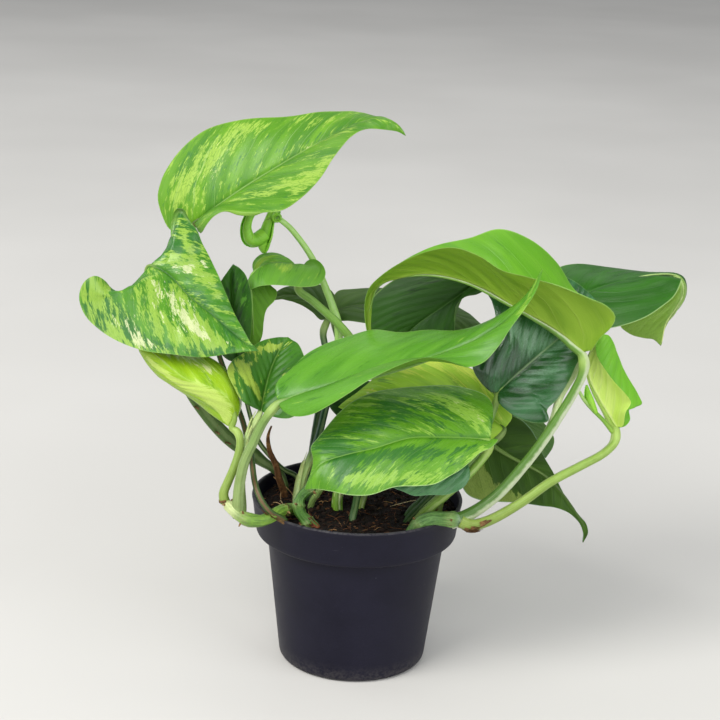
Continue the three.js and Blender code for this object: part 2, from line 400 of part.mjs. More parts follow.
function closedGeometry(positions, triangles) {
  const geometry = new THREE.BufferGeometry();
  geometry.setAttribute('position', new THREE.Float32BufferAttribute(positions, 3));
  geometry.setIndex(triangles);
  return geometry;
}

function toSolid(geometry) {
  let g = geometry.clone();
  g.deleteAttribute('normal');
  g.deleteAttribute('uv');
  g = mergeVertices(g, 1e-4);
  return new wasm.Manifold(new wasm.Mesh({
    numProp: 3,
    vertProperties: new Float32Array(g.attributes.position.array),
    triVerts: new Uint32Array(g.index.array),
  }));
}

function toGeometry(solid) {
  const mesh = solid.getMesh();
  const count = mesh.vertProperties.length / mesh.numProp;
  const positions = [];
  for (let i = 0; i < count; i += 1) {
    for (let k = 0; k < 3; k += 1) positions.push(mesh.vertProperties[i * mesh.numProp + k]);
  }
  const geometry = closedGeometry(positions, Array.from(mesh.triVerts));
  geometry.computeVertexNormals();
  return geometry;
}

// The largest body of a solid, so that a crumb left by a cut is dropped.
function mainBody(solid) {
  const bodies = solid.decompose();
  let best = bodies[0];
  for (const body of bodies) {
    if (Math.abs(body.volume()) > Math.abs(best.volume())) best = body;
  }
  return best;
}

// A tapered round tube along a route, closed at both ends. radii is a list of
// [fraction of the length, radius]; extra widens it all over.
function tube(points, radii, sides, segments, extra = 0) {
  const curve = curveOf(points);
  const at = (u) => {
    let i = 0;
    while (i < radii.length - 2 && u > radii[i + 1][0]) i += 1;
    const [u0, r0] = radii[i];
    const [u1, r1] = radii[i + 1];
    return r0 + (r1 - r0) * THREE.MathUtils.clamp((u - u0) / (u1 - u0), 0, 1) + extra;
  };
  const positions = [];
  const triangles = [];
  let normal = null;
  for (let i = 0; i <= segments; i += 1) {
    const u = i / segments;
    const t = curve.getTangentAt(u);
    const p = curve.getPointAt(u);
    if (i === 0) p.addScaledVector(t, -extra);
    if (i === segments) p.addScaledVector(t, extra);
    if (normal === null) {
      const helper = Math.abs(t.x) < 0.8 ? new THREE.Vector3(1, 0, 0) : new THREE.Vector3(0, 1, 0);
      normal = new THREE.Vector3().crossVectors(t, helper).normalize();
    } else {
      normal = normal.clone().addScaledVector(t, -normal.dot(t)).normalize();
    }
    const side = new THREE.Vector3().crossVectors(t, normal);
    for (let j = 0; j < sides; j += 1) {
      const a = (2 * Math.PI * j) / sides;
      const q = p.clone()
        .addScaledVector(normal, Math.cos(a) * at(u))
        .addScaledVector(side, Math.sin(a) * at(u));
      positions.push(q.x, q.y, q.z);
    }
  }
  for (let i = 0; i < segments; i += 1) {
    for (let j = 0; j < sides; j += 1) {
      const a0 = i * sides + j;
      const a1 = i * sides + ((j + 1) % sides);
      triangles.push(a0, a1, a1 + sides, a0, a1 + sides, a0 + sides);
    }
  }
  const start = positions.length / 3;
  const p0 = curve.getPointAt(0).addScaledVector(curve.getTangentAt(0), -extra);
  const p1 = curve.getPointAt(1).addScaledVector(curve.getTangentAt(1), extra);
  positions.push(p0.x, p0.y, p0.z, p1.x, p1.y, p1.z);
  for (let j = 0; j < sides; j += 1) {
    triangles.push(start, (j + 1) % sides, j);
    triangles.push(start + 1, segments * sides + j, segments * sides + ((j + 1) % sides));
  }
  return closedGeometry(positions, triangles);
}

// The blade's middle surface, as rows of points from the left margin to the right one.
function bladeGrid(leaf, rows, half) {
  const mid = curveOf(leaf.mid);
  const margins = [curveOf(leaf.left), curveOf(leaf.right)];
  const grid = [];
  for (let i = 0; i <= rows; i += 1) {
    const s = i / rows;
    const m = mid.getPointAt(s);
    const forward = mid.getPointAt(Math.min(s + 0.02, 1)).sub(mid.getPointAt(Math.max(s - 0.02, 0)));
    const row = new Array(2 * half + 1);
    row[half] = m;
    margins.forEach((margin, k) => {
      const width = margin.getPointAt(s ** MARGIN_POWER).sub(m);
      const length = width.length();
      const outward = k === 0 ? width.clone() : width.clone().negate();
      const up = new THREE.Vector3().crossVectors(forward, outward);
      if (up.length() > 1e-9) up.normalize();
      for (let j = 1; j <= half; j += 1) {
        const t = j / half;
        const rise = leaf.arch * (Math.sin(Math.PI * t) + 0.5 * (1 - t) * (1 - t) * t);
        const p = m.clone().addScaledVector(width, t).addScaledVector(up, length * rise);
        row[half + (k === 0 ? -j : j)] = p;
      }
    });
    grid.push(row);
  }
  return grid;
}

function gridNormal(grid, i, j) {
  const rows = grid.length - 1;
  const cols = grid[0].length - 1;
  const forward = grid[Math.min(i + 1, rows)][j].clone().sub(grid[Math.max(i - 1, 0)][j]);
  const left = grid[i][Math.max(j - 1, 0)].clone().sub(grid[i][Math.min(j + 1, cols)]);
  return new THREE.Vector3().crossVectors(forward, left).normalize();
}

// A blade is closed like a lens: both faces meet along the margins and at the two ends.
function bladeSolid(grid, thickness) {
  const rows = grid.length - 1;
  const cols = grid[0].length - 1;
  const middle = cols / 2;
  const index = new Map();
  const positions = [];
  const corner = (i, j, side) => {
    let key = `${side},${i},${j}`;
    if (i === 0) key = 'base';
    else if (i === rows) key = 'tip';
    else if (j === 0 || j === cols) key = `edge,${i},${j}`;
    if (!index.has(key)) {
      const p = grid[i][j].clone();
      if (key.startsWith('top') || key.startsWith('low')) {
        const h = (thickness / 2) * (1.15 - (0.35 * Math.abs(j - middle)) / middle);
        p.addScaledVector(gridNormal(grid, i, j), side === 'top' ? h : -h);
      }
      index.set(key, positions.length / 3);
      positions.push(p.x, p.y, p.z);
    }
    return index.get(key);
  };
  const triangles = [];
  const add = (a, b, c) => {
    if (a !== b && b !== c && a !== c) triangles.push(a, b, c);
  };
  for (let i = 0; i < rows; i += 1) {
    for (let j = 0; j < cols; j += 1) {
      for (const side of ['top', 'low']) {
        const a = corner(i, j, side);
        const b = corner(i, j + 1, side);
        const c = corner(i + 1, j + 1, side);
        const d = corner(i + 1, j, side);
        if (side === 'top') {
          add(a, b, c);
          add(a, c, d);
        } else {
          add(a, c, b);
          add(a, d, c);
        }
      }
    }
  }
  return toSolid(closedGeometry(positions, triangles));
}

function leafSolid(leaf) {
  const half = leaf.half ?? 3;
  const grid = bladeGrid(leaf, leaf.rows, half);
  const blade = bladeSolid(grid, BLADE_THICKNESS);
  return blade.add(petioleSolid(leaf, grid, half, 0));
}

// The petiole runs on under the blade as the thick start of the midrib.
function petioleSolid(leaf, grid, half, extra) {
  const under = [1, 2].map((i) => grid[i][half].clone()
    .addScaledVector(gridNormal(grid, i, half), i === 1 ? -0.9 : -0.7));
  const foot = leaf.petiole.map(vec);
  const length = curveOf([...foot, ...under]).getLength();
  const segments = Math.max(7, Math.min(14, Math.round(length / 14)));
  const reach = 1 - curveOf([foot.at(-1), ...under]).getLength() / length;
  return toSolid(tube([...foot, ...under], [[0, leaf.r[0]], [reach, leaf.r[1]], [1, 0.7]], PETIOLE_SIDES, segments, extra));
}

// ---------------------------------------------------------------- pot
function potSolid() {
  const neckZ = POT_HEIGHT - BAND_HEIGHT;
  const outside = [
    [0, 0], [BASE_RADIUS - FOOT_ROUND, 0], [BASE_RADIUS - 0.9, 0.9], [BASE_RADIUS, FOOT_ROUND],
    [NECK_RADIUS - 0.3, neckZ - 1.2], [NECK_RADIUS + 1, neckZ - 0.2], [BAND_RADIUS - 1.2, neckZ], [BAND_RADIUS, neckZ + 1.4],
    [RIM_RADIUS - 0.4, POT_HEIGHT - 2], [RIM_RADIUS, POT_HEIGHT - 0.8], [RIM_RADIUS - 0.6, POT_HEIGHT],
  ];
  const inside = [
    [RIM_RADIUS - WALL - 0.3, POT_HEIGHT], [RIM_RADIUS - WALL - 0.9, POT_HEIGHT - 1],
    [BAND_RADIUS - WALL, neckZ + 2.4], [NECK_RADIUS - WALL + 0.2, neckZ - 0.4],
    [BASE_RADIUS - WALL, FOOT_ROUND + 1], [BASE_RADIUS - WALL - 2, FLOOR], [0, FLOOR],
  ];
  const profile = [...outside, ...inside].map(([r, z]) => new THREE.Vector2(r, z));
  const lathe = new THREE.LatheGeometry(profile, POT_SEGMENTS);
  lathe.rotateX(Math.PI / 2);
  let solid = toSolid(lathe);
  for (let k = 0; k < SLOT_COUNT; k += 1) {
    // One slot faces the front, where the light shows through under the foot.
    const slot = new THREE.BoxGeometry(BASE_RADIUS + 4 - SLOT_INNER, SLOT_WIDTH, SLOT_HEIGHT * 2);
    slot.translate((BASE_RADIUS + 4 + SLOT_INNER) / 2, 0, 0);
    slot.rotateZ((-97 * Math.PI) / 180 + (2 * Math.PI * k) / SLOT_COUNT);
    solid = solid.subtract(toSolid(slot));
  }
  return solid;
}

// ---------------------------------------------------------------- soil
const soilHeight = (x, y) => {
  let z = SOIL_TOP;
  for (const [bx, by, h, w] of SOIL_BUMPS) z += h * Math.exp(-((x - bx) ** 2 + (y - by) ** 2) / (w * w));
  return z;
};

function soilSolid() {
  const neckZ = POT_HEIGHT - BAND_HEIGHT;
  const innerBand = (z) => BAND_RADIUS - WALL + ((z - neckZ - 2.4) * (RIM_RADIUS - 0.9 - BAND_RADIUS)) / (BAND_HEIGHT - 3.4);
  const topRadius = innerBand(SOIL_TOP) - 0.9;
  const rings = [
    [BASE_RADIUS - WALL - 3, FLOOR + GAP], [BASE_RADIUS - WALL - 0.9, FOOT_ROUND + 1],
    [NECK_RADIUS - WALL - 0.7, neckZ - 1], [BAND_RADIUS - WALL - 1, neckZ + 4],
  ];
  const n = 28;
  const positions = [0, 0, FLOOR + GAP];
  const triangles = [];
  const ringAt = (r, z) => {
    const first = positions.length / 3;
    for (let k = 0; k < n; k += 1) {
      const a = (2 * Math.PI * k) / n;
      const x = r * Math.cos(a);
      const y = r * Math.sin(a);
      positions.push(x, y, z === null ? soilHeight(x, y) : z);
    }
    return first;
  };
  const starts = rings.map(([r, z]) => ringAt(r, z));
  for (const r of [topRadius, 44, 31, 17]) starts.push(ringAt(r, null));
  const centre = positions.length / 3;
  positions.push(0, 0, soilHeight(0, 0));
  for (let k = 0; k < n; k += 1) {
    const j = (k + 1) % n;
    triangles.push(0, starts[0] + j, starts[0] + k);
    for (let i = 0; i < starts.length - 1; i += 1) {
      const a = starts[i] + k;
      const b = starts[i] + j;
      const c = starts[i + 1] + j;
      const d = starts[i + 1] + k;
      triangles.push(a, b, c, a, c, d);
    }
    triangles.push(starts.at(-1) + k, starts.at(-1) + j, centre);
  }
  return toSolid(closedGeometry(positions, triangles));
}

// ---------------------------------------------------------------- assembly
const plant = new THREE.Group();

const finish = (color, roughness) => new THREE.MeshStandardMaterial({ color, roughness, metalness: 0 });
const FINISHES = {
  pot: finish(0x2a2c37, 0.55),
  soil: finish(0x2a1a12, 0.95),
  stem: finish(0x8fb45a, 0.45),
  dry: finish(0x5a3a22, 0.8),
  leaf_green: finish(0x4f9a2c, 0.35),
  leaf_lime: finish(0x9ccb45, 0.38),
  leaf_variegated: finish(0x7fb548, 0.36),
  leaf_dark: finish(0x2f6a34, 0.32),
};

const LOOK = {
  leaf_top: 'leaf_variegated', leaf_left_variegated: 'leaf_variegated', leaf_front_variegated: 'leaf_variegated',
  leaf_left_low: 'leaf_lime', leaf_right_young: 'leaf_lime', leaf_front_second: 'leaf_lime', leaf_rolled: 'leaf_lime',
  leaf_left_dark: 'leaf_dark', leaf_left_round: 'leaf_dark', leaf_right_dark: 'leaf_dark', leaf_centre_hanging: 'leaf_dark',
  leaf_back_small: 'leaf_dark', leaf_back_long: 'leaf_dark', leaf_front_small: 'leaf_dark', leaf_inner_dark: 'leaf_dark',
  leaf_right_far: 'leaf_dark', leaf_right_drooping: 'leaf_green', leaf_right_hidden: 'leaf_green',
  leaf_front_long: 'leaf_green', leaf_right_arching: 'leaf_green', leaf_centre_curled: 'leaf_green',
};

// Which vine stem a leaf grows from. The others come straight out of the soil.
const GROWS_FROM = {
  leaf_top: 'vine_left', leaf_left_low: 'vine_left', leaf_left_round: 'vine_left', leaf_front_long: 'vine_left',
  leaf_right_arching: 'vine_right', leaf_right_young: 'vine_right', leaf_right_far: 'vine_right',
};

function addPiece(name, solid, look) {
  const mesh = new THREE.Mesh(toGeometry(mainBody(solid)), FINISHES[look]);
  mesh.name = name;
  plant.add(mesh);
}

const pot = potSolid();
let soil = soilSolid();

const rooted = (points) => points[0][2] < SOIL_TOP - 4;

const stemSolids = {};
const stemTubes = {};
for (const [name, stem] of Object.entries(STEMS)) {
  const segments = name.startsWith('vine') ? 18 : 9;
  stemSolids[name] = toSolid(tube(stem.path, stem.r, STEM_SIDES, segments));
  stemTubes[name] = toSolid(tube(stem.path, stem.r, STEM_SIDES, segments, GAP));
}

const leafSolids = {};
for (const [name, leaf] of Object.entries(LEAVES)) {
  let solid = leafSolid(leaf);
  if (GROWS_FROM[name]) solid = solid.subtract(stemTubes[GROWS_FROM[name]]);
  leafSolids[name] = solid;
}
// The rolled leaf: its petiole, the hanging roll and the thin tail that curls up again.
leafSolids.leaf_rolled = ROLLED.map((part, k) => toSolid(tube(part.path, part.r, PETIOLE_SIDES, k === 0 ? 18 : 8)))
  .reduce((a, b) => a.add(b));

// The soil closes round every stem that grows out of it, with a small clearance.
for (const leaf of Object.values(LEAVES)) {
  if (rooted(leaf.petiole)) {
    const half = leaf.half ?? 3;
    soil = soil.subtract(petioleSolid(leaf, bladeGrid(leaf, leaf.rows, half), half, GAP));
  }
}
soil = soil.subtract(toSolid(tube(ROLLED[0].path, ROLLED[0].r, PETIOLE_SIDES, 18, GAP)));
for (const fat of Object.values(stemTubes)) soil = soil.subtract(fat);

addPiece('pot', pot, 'pot');
addPiece('soil', soil, 'soil');
for (const [name, solid] of Object.entries(stemSolids)) addPiece(name, solid, name.startsWith('dry') ? 'dry' : 'stem');
for (const [name, solid] of Object.entries(leafSolids)) addPiece(name, solid, LOOK[name]);

export default plant;
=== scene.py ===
# Potted pothos plant: the fine surfaces and materials of each piece.
# Points are in millimetres in the part's own frame and become metres when a mesh is made.
import json
import math

import bpy
import numpy as np
from mathutils import Vector, Matrix


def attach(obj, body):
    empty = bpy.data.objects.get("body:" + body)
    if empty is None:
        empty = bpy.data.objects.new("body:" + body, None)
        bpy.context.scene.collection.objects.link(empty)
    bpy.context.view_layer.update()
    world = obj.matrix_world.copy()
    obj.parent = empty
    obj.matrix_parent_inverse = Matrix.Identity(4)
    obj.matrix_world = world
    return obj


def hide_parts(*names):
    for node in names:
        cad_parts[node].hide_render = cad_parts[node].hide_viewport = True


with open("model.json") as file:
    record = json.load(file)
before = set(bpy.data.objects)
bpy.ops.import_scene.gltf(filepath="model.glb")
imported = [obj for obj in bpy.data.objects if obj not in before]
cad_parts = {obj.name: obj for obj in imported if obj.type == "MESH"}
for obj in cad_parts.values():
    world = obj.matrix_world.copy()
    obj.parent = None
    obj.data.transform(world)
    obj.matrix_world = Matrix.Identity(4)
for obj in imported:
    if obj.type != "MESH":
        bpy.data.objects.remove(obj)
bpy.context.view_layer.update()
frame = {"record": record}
MM = 0.001

# ------------------------------------------------------------------ control points, the same as the part has, in mm
LEAVES = {
    "leaf_top": {
      "arch": 0.06, "r": (2, 1.6),
      "mid": [
        (-97.6, 28, 246.1), (-88.5, 26, 253.2), (-71.8, 24, 266.2), (-49.7, 21, 281.7), (-27.9, 16, 296.3), (-6.4, 9, 309.3), (7, 4, 312.8),
        (14.1, 1, 309.8), (18.6, 0, 304.2)],
      "left": [
        (-97.6, 28, 246.1), (-103.5, 31, 241.2), (-111.4, 36, 239.1), (-117.3, 43, 246.1), (-120.3, 48, 254.8), (-119.5, 51, 261.7), (-116.9, 53, 269),
        (-108.7, 55, 281.6), (-94.5, 55, 293.6), (-74.4, 51, 300.2), (-45.9, 43, 304.4), (-26.2, 35, 309.2), (-5.5, 22, 311.6), (9.8, 7, 310.8),
        (18.6, 0, 304.2)],
      "right": [
        (-97.6, 28, 246.1), (-93.8, 24, 240.8), (-89.4, 18, 247.5), (-85.1, 13, 253.3), (-77.5, 7, 258.3), (-64.4, 0, 259.5), (-47.7, -7, 262.5),
        (-37, -10, 270.2), (-27.6, -11, 280), (-19.9, -10, 291.5), (-11.3, -7, 303.1), (-4, -4, 307.2), (5.6, -2, 307.8), (14.2, 0, 306.4),
        (18.6, 0, 304.2)],
      "petiole": [
        (-39, -43, 96.8), (-42.3, -44.5, 99.6), (-47.2, -47, 103.3), (-52.3, -45, 109.3), (-55.9, -39, 115.6), (-57.9, -31, 121.3), (-59.5, -21, 125.8),
        (-62.4, -9, 129.6), (-66.2, 3, 137.2), (-71.1, 13, 145.6), (-76.4, 20, 156.4), (-81.6, 25, 167.8), (-87.3, 28, 186.4), (-92.4, 31, 206),
        (-96.2, 33, 225.9), (-98.4, 31, 239.6), (-97.6, 28, 246.1)],
      "paint": [
        ('l', 0.07, -0.35, 0.25, -0.65, 8, 0.09), ('c', 0.11, -0.20, 0.25, -0.55, 5, 0.09), ('l', 0.06, -0.65, 0.12, -0.65, 6, 0.08),
        ('l', 0.24, -0.60, 0.31, -0.80, 6, 0.09), ('c', 0.24, -0.65, 0.29, -0.70, 5, 0.1), ('l', 0.34, -0.85, 0.39, -0.85, 5, 0.1),
        ('c', 0.35, -0.80, 0.39, -0.85, 3, 0.1), ('c', 0.36, -0.40, 0.44, -0.40, 3, 0.08), ('c', 0.53, -0.10, 0.70, 0.60, 2.5, 0.14),
        ('l', 0.53, -0.10, 0.72, 0.65, 4, 0.08), ('l', 0.19, 0.30, 0.42, 0.70, 5, 0.12), ('l', 0.35, 0.85, 0.55, 0.85, 5, 0.08),
        ('l', 0.09, -0.65, 0.16, -0.75, 6, 0.05), ('l', 0.53, -0.85, 0.72, -0.55, 5, 0.06), ('l', 0.89, 0.35, 0.99, 0.35, 3, 0.1),
        ('d', 0.14, -0.80, 0.21, -0.75, 6, 0.06), ('l', 0.41, 0.75, 0.56, 0.95, 6, 0.05), ('d', 0.14, -0.95, 0.07, -0.45, 7, 0.06),
        ('d', 0.26, -0.25, 0.47, -0.15, 14, 0.07)],
    },
    "leaf_left_variegated": {
      "arch": 0.07, "r": (2.6, 1.7),
      "mid": [
        (-118.7, 4, 226.9), (-107.7, 0, 221.5), (-96.1, -5, 211.4), (-84.6, -9, 203.8), (-73.3, -12, 195.4), (-63.1, -14, 187.8), (-57, -15, 185)],
      "left": [
        (-118.7, 4, 226.9), (-114.2, 8, 230.1), (-110.4, 13, 234.2), (-108.7, 17, 240.1), (-107.1, 20, 246.9), (-104.4, 20, 253), (-101.4, 18.5, 250.3),
        (-95.2, 15, 245.1), (-91.6, 13, 237.8), (-86.7, 9, 230.9), (-81.7, 4, 222.1), (-76.1, -1, 212.2), (-69.3, -8, 200.2), (-62.1, -13, 189.3),
        (-57, -15, 185)],
      "right": [
        (-118.7, 4, 226.9), (-124.3, 0, 219.7), (-130.4, -4, 214.8), (-136.8, -9, 213.1), (-141.3, -15, 221.2), (-146.5, -20, 225.1), (-151.3, -24, 222.6),
        (-153.7, -26, 214.6), (-150.3, -28, 205.3), (-142.1, -29, 197.5), (-131.2, -30, 191.5), (-117.6, -30, 187), (-104.1, -30, 185.8), (-88.1, -28, 184.2),
        (-73.3, -23, 185), (-64.4, -18, 185), (-57, -15, 185)],
      "petiole": [
        (-43, 25, 81), (-43, 25, 90), (-46, 27, 98), (-56.4, 27, 105.3), (-63.3, 25, 111.4), (-70.8, 23, 116.1), (-79.5, 21, 124.4),
        (-89.3, 19, 136.9), (-97.9, 18, 150.1), (-105.9, 17, 168), (-113.3, 16, 188.7), (-118.1, 13, 206.8), (-119.8, 8, 219.6), (-118.7, 4, 226.9)],
      "paint": [
        ('c', 0.23, 0.30, 0.54, 0.55, 6, 0.13), ('c', 0.21, 0.15, 0.53, 0.35, 5, 0.1), ('c', 0.30, 0.75, 0.45, 0.95, 5, 0.09),
        ('c', 0.31, 0.10, 0.71, 0.55, 3, 0.14), ('c', 0.46, 0.90, 0.64, 0.85, 4, 0.1), ('c', 0.25, -0.30, 0.35, -0.80, 2, 0.16),
        ('d', 0.24, 0.65, 0.47, 0.90, 3, 0.1), ('d', 0.47, -0.15, 0.80, 0.10, 3, 0.08), ('l', 0.16, 0.85, 0.21, 0.75, 4, 0.1),
        ('d', 0.20, 0.95, 0.28, 0.90, 3, 0.1), ('l', 0.19, 0.25, 0.54, 0.65, 7, 0.12), ('c', 0.41, 0.05, 0.65, 0.50, 4, 0.12),
        ('l', 0.36, 0.05, 0.72, 0.65, 7, 0.1), ('c', 0.17, -0.15, 0.44, -0.65, 4, 0.12), ('l', 0.06, -0.15, 0.47, -0.70, 7, 0.12),
        ('l', 0.15, -0.80, 0.23, -0.60, 5, 0.1), ('c', 0.26, -0.75, 0.42, -0.80, 2.5, 0.08), ('l', 0.17, 0.95, 0.28, 0.95, 8, 0.1),
        ('l', 0.36, 0.95, 0.53, 0.95, 4, 0.08), ('d', 0.21, 0.80, 0.41, 1.00, 6, 0.1), ('d', 0.38, -0.25, 0.80, 0.10, 5, 0.08),
        ('d', 0.30, 0.85, 0.47, 0.90, 7, 0.12), ('d', 0.47, 0.90, 0.76, 0.90, 5, 0.14), ('d', 0.75, 0.80, 0.86, 0.00, 6, 0.08),
        ('c', 0.30, 0.65, 0.44, 0.85, 4, 0.07), ('d', 0.14, -0.45, 0.15, -1.00, 7, 0.2), ('d', 0.15, -1.00, 0.20, -0.95, 3, 0.14),
        ('d', 0.28, 0.85, 0.34, 0.90, 6, 0.12), ('d', 0.17, 0.85, 0.26, 0.75, 5, 0.13), ('d', 0.23, 0.70, 0.35, 0.80, 4, 0.08),
        ('d', 0.24, -0.90, 0.34, -0.75, 6, 0.12), ('d', 0.23, 0.05, 0.42, -0.05, 5, 0.08), ('l', 0.54, 0.25, 0.79, 0.55, 6, 0.12),
        ('c', 0.74, 0.35, 0.85, 0.60, 2, 0.08)],
    },
    "leaf_left_low": {
      "arch": 0.1, "r": (2.3, 1.7),
      "mid": [
        (-71.3, -26, 144), (-68.6, -27, 151.5), (-70.8, -29, 159.5), (-76.8, -30, 165.3), (-85, -30, 169), (-94.3, -29, 171.2), (-102.2, -27, 175.9),
        (-111.4, -23, 182.3), (-123.3, -16, 187.1)],
      "left": [
        (-71.3, -26, 144), (-75.8, -25, 146.4), (-80.9, -24, 149.4), (-88.3, -22, 154.2), (-96.7, -21, 159.3), (-105.1, -20, 164.4), (-113.6, -18, 170.9),
        (-119.4, -16, 177.5), (-122.8, -15, 182.8), (-123.3, -16, 187.1)],
      "right": [
        (-71.3, -26, 144), (-69.4, -23, 146), (-67.6, -19, 151.1), (-66.9, -15, 156.8), (-69, -11, 162.4), (-73.2, -8, 168.3), (-79.1, -5, 173.5),
        (-87.6, -4, 178.1), (-98.7, -4, 181.7), (-112.1, -8, 185.2), (-123.3, -16, 187.1)],
      "petiole": [
        (-72.2, -41, 105.7), (-73.4, -41, 110.4), (-71.5, -39, 115.5), (-68.5, -37, 123.1), (-66.1, -34, 130.8), (-65.3, -31, 137.9), (-67.3, -28, 142.6),
        (-71.3, -26, 144)],
      # the two strong pale strokes on the lower half are painted light and sheen where that half curls towards the
      # lamps; the cream strokes are the blade's own
      "paint": [
        ('c', 0.59, 0.40, 0.40, 0.40, 5, 0.2), ('c', 0.42, 0.35, 0.40, 0.10, 3, 0.15), ('l', 0.78, -0.55, 0.47, -0.20, 4, 0.35),
        ('l', 0.46, -0.25, 0.07, -0.30, 6, 0.35), ('c', 0.26, -0.05, 0.15, 0.20, 4, 0.06), ('d', 0.81, -0.35, 0.12, -0.50, 5, 0.05)],
    },
    "leaf_left_dark": {
      "arch": 0.08, "r": (1.6, 1.2),
      "mid": [
        (-70.3, 12, 169.8), (-72.6, 16, 184.5), (-74.2, 19, 201.2), (-75.1, 20, 214.3), (-74.5, 18, 225.2)],
      "left": [
        (-70.3, 12, 169.8), (-76.1, 13, 170.5), (-82.6, 15, 176.7), (-86.3, 17, 186.6), (-87.1, 18, 198), (-84.5, 19, 208.3), (-80.1, 19, 216.7),
        (-74.5, 18, 225.2)],
      "right": [
        (-70.3, 12, 169.8), (-65.7, 10, 174.8), (-63.6, 9, 184), (-62.7, 9, 194.5), (-62.9, 9, 205.5), (-64.3, 11, 213.6), (-66.9, 14, 220.2),
        (-70.4, 16, 223.6), (-74.5, 18, 225.2)],
      "petiole": [
        (-33, 25, 81), (-33, 25, 90), (-36, 24, 98), (-43.7, 20, 103.5), (-51.2, 16, 112.7), (-58.1, 12, 123.6), (-62.7, 9, 139.5),
        (-66.4, 8, 154.3), (-69.5, 10, 164.6), (-70.3, 12, 169.8)],
      "paint": [
        ('d', 0.68, -0.35, 0.85, 0.30, 4, 0.12), ('l', 0.82, 0.55, 0.55, 0.55, 3, 0.12), ('l', 0.51, 0.70, 0.14, 0.95, 4, 0.08)],
    },
    "leaf_centre_curled": {
      "arch": 0.1, "r": (2.3, 1.6),
      "mid": [
        (-36.6, 40, 215.4), (-41.2, 39, 220.2), (-48.1, 37, 222.8), (-55.9, 34, 222.6), (-62.9, 30, 219.2), (-66.5, 26, 214.2), (-65.1, 24, 205.5),
        (-63.6, 23, 191.7), (-62, 22, 173.1)],
      "left": [
        (-36.6, 40, 215.4), (-34.6, 42, 222.1), (-30, 40, 224.5), (-25.2, 36, 222.7), (-22.9, 31, 218.2), (-25.8, 27, 213.3), (-34.1, 25, 211.7),
        (-43.7, 23, 212.7), (-53.6, 19, 213.9), (-61.4, 18, 212.7), (-65.8, 18, 209.4), (-66.4, 20, 199.5), (-66.2, 21, 186.3), (-62, 22, 173.1)],
      "right": [
        (-36.6, 40, 215.4), (-40.8, 44, 217.8), (-45.1, 48, 218.4), (-49.3, 51, 220.4), (-55.2, 51, 223.5), (-61.3, 48, 223.1), (-65.2, 46, 218.7),
        (-63.2, 44, 212.1), (-54.8, 41, 207.3), (-50.6, 38, 205.3), (-51.4, 34, 201), (-55.6, 30, 196.6), (-57, 27, 190.8), (-57.8, 24, 181.6),
        (-62, 22, 173.1)],
      "petiole": [
        (-11.2, -6.8, 81), (-11.2, -6.8, 90), (-11.4, -6, 95.7), (-9.1, 0, 106.9), (-5.2, 12, 120.9), (-2.1, 24, 140), (-1.8, 32, 160.5),
        (-5.3, 36, 175.4), (-14.4, 38, 186.5), (-22.7, 40, 193.4), (-31, 42, 199.7), (-38.7, 42, 205.3), (-38.2, 41, 210.9), (-36.6, 40, 215.4)],
      "paint": [
        ('l', 0.23, 0.80, 0.24, -0.35, 6, 0.14), ('l', 0.20, -0.40, 0.10, -0.85, 6, 0.04)],
    },
    "leaf_back_small": {
      "arch": 0.06, "r": (2, 1.6),
      "mid": [
        (-21.1, 52, 186.5), (-28.5, 58, 192.4), (-37.6, 62, 195.9), (-47.1, 64, 196.2), (-58.1, 62, 192.6)],
      "left": [
        (-21.1, 52, 186.5), (-25.2, 52, 185.1), (-30.6, 54, 189.2), (-37.9, 57, 192.9), (-46.9, 60, 194.2), (-58.1, 62, 192.6)],
      "right": [
        (-21.1, 52, 186.5), (-16.8, 60, 191.1), (-18.3, 66, 197.4), (-26.9, 70, 201.5), (-38.7, 71, 200.8), (-48, 69, 199.1), (-54.3, 66, 195.9),
        (-58.1, 62, 192.6)],
      "petiole": [
        (-27, 5, 81), (-27, 5, 90), (-27.5, 9, 100.3), (-27.4, 15, 108.5), (-26.3, 24, 120.6), (-24.2, 33, 136.1), (-22, 40, 152.3),
        (-21.5, 46, 167.5), (-23.7, 49, 178.7), (-21.1, 52, 186.5)],
    },
    "leaf_back_long": {
      "arch": 0.06, "r": (1.7, 1.4),
      "mid": [
        (-18.5, 62, 187.5), (-8.6, 66, 190.5), (14.9, 68, 192.1), (38.6, 66, 191.1), (56.3, 62, 188.1), (70.5, 58, 183.6)],
      "left": [
        (-18.5, 62, 187.5), (-19.4, 68, 192.5), (-16.2, 76, 196.7), (-8, 82, 196.7), (7.6, 88, 197), (26.9, 90, 196), (44.9, 84, 193.3),
        (59.7, 72, 188.5), (70.5, 58, 183.6)],
      "right": [
        (-18.5, 62, 187.5), (-15.3, 58, 183.8), (-8.2, 54, 184.6), (6.5, 50, 183.9), (26.9, 46, 182.9), (44.4, 46, 181.2), (59.2, 52, 181.2),
        (70.5, 58, 183.6)],
      "petiole": [
        (-2.4, -21, 81), (-2.4, -21, 90), (-0.6, -14, 97.5), (0.1, -2, 106.8), (-2.6, 20, 123), (-7.1, 38, 144.3), (-12.9, 52, 167.3),
        (-16.9, 58, 178.9), (-18.5, 62, 187.5)],
    },
    "leaf_left_round": {
      "arch": 0.08, "r": (1.8, 1.4),
      "mid": [
        (-54.8, -20, 152), (-53.8, -13, 159), (-51.8, -3, 167.6), (-48.1, 7, 176.4), (-42.6, 15, 184.8)],
      "left": [
        (-54.8, -20, 152), (-60.7, -24, 156), (-65.6, -26, 159.9), (-69.7, -24, 166.6), (-73.6, -18, 174.3), (-72.1, -10, 177.1), (-68.3, -2, 178.3),
        (-63.2, 5, 179.9), (-57, 11, 183.1), (-49.3, 14, 184.2), (-42.6, 15, 184.8)],
      "right": [
        (-54.8, -20, 152), (-47.4, -24, 150.2), (-38.5, -25, 150.3), (-31.6, -23, 155.1), (-28.3, -15, 163), (-29.5, -5, 170.9), (-32.8, 3, 178.2),
        (-36.6, 10, 183), (-42.6, 15, 184.8)],
      "petiole": [
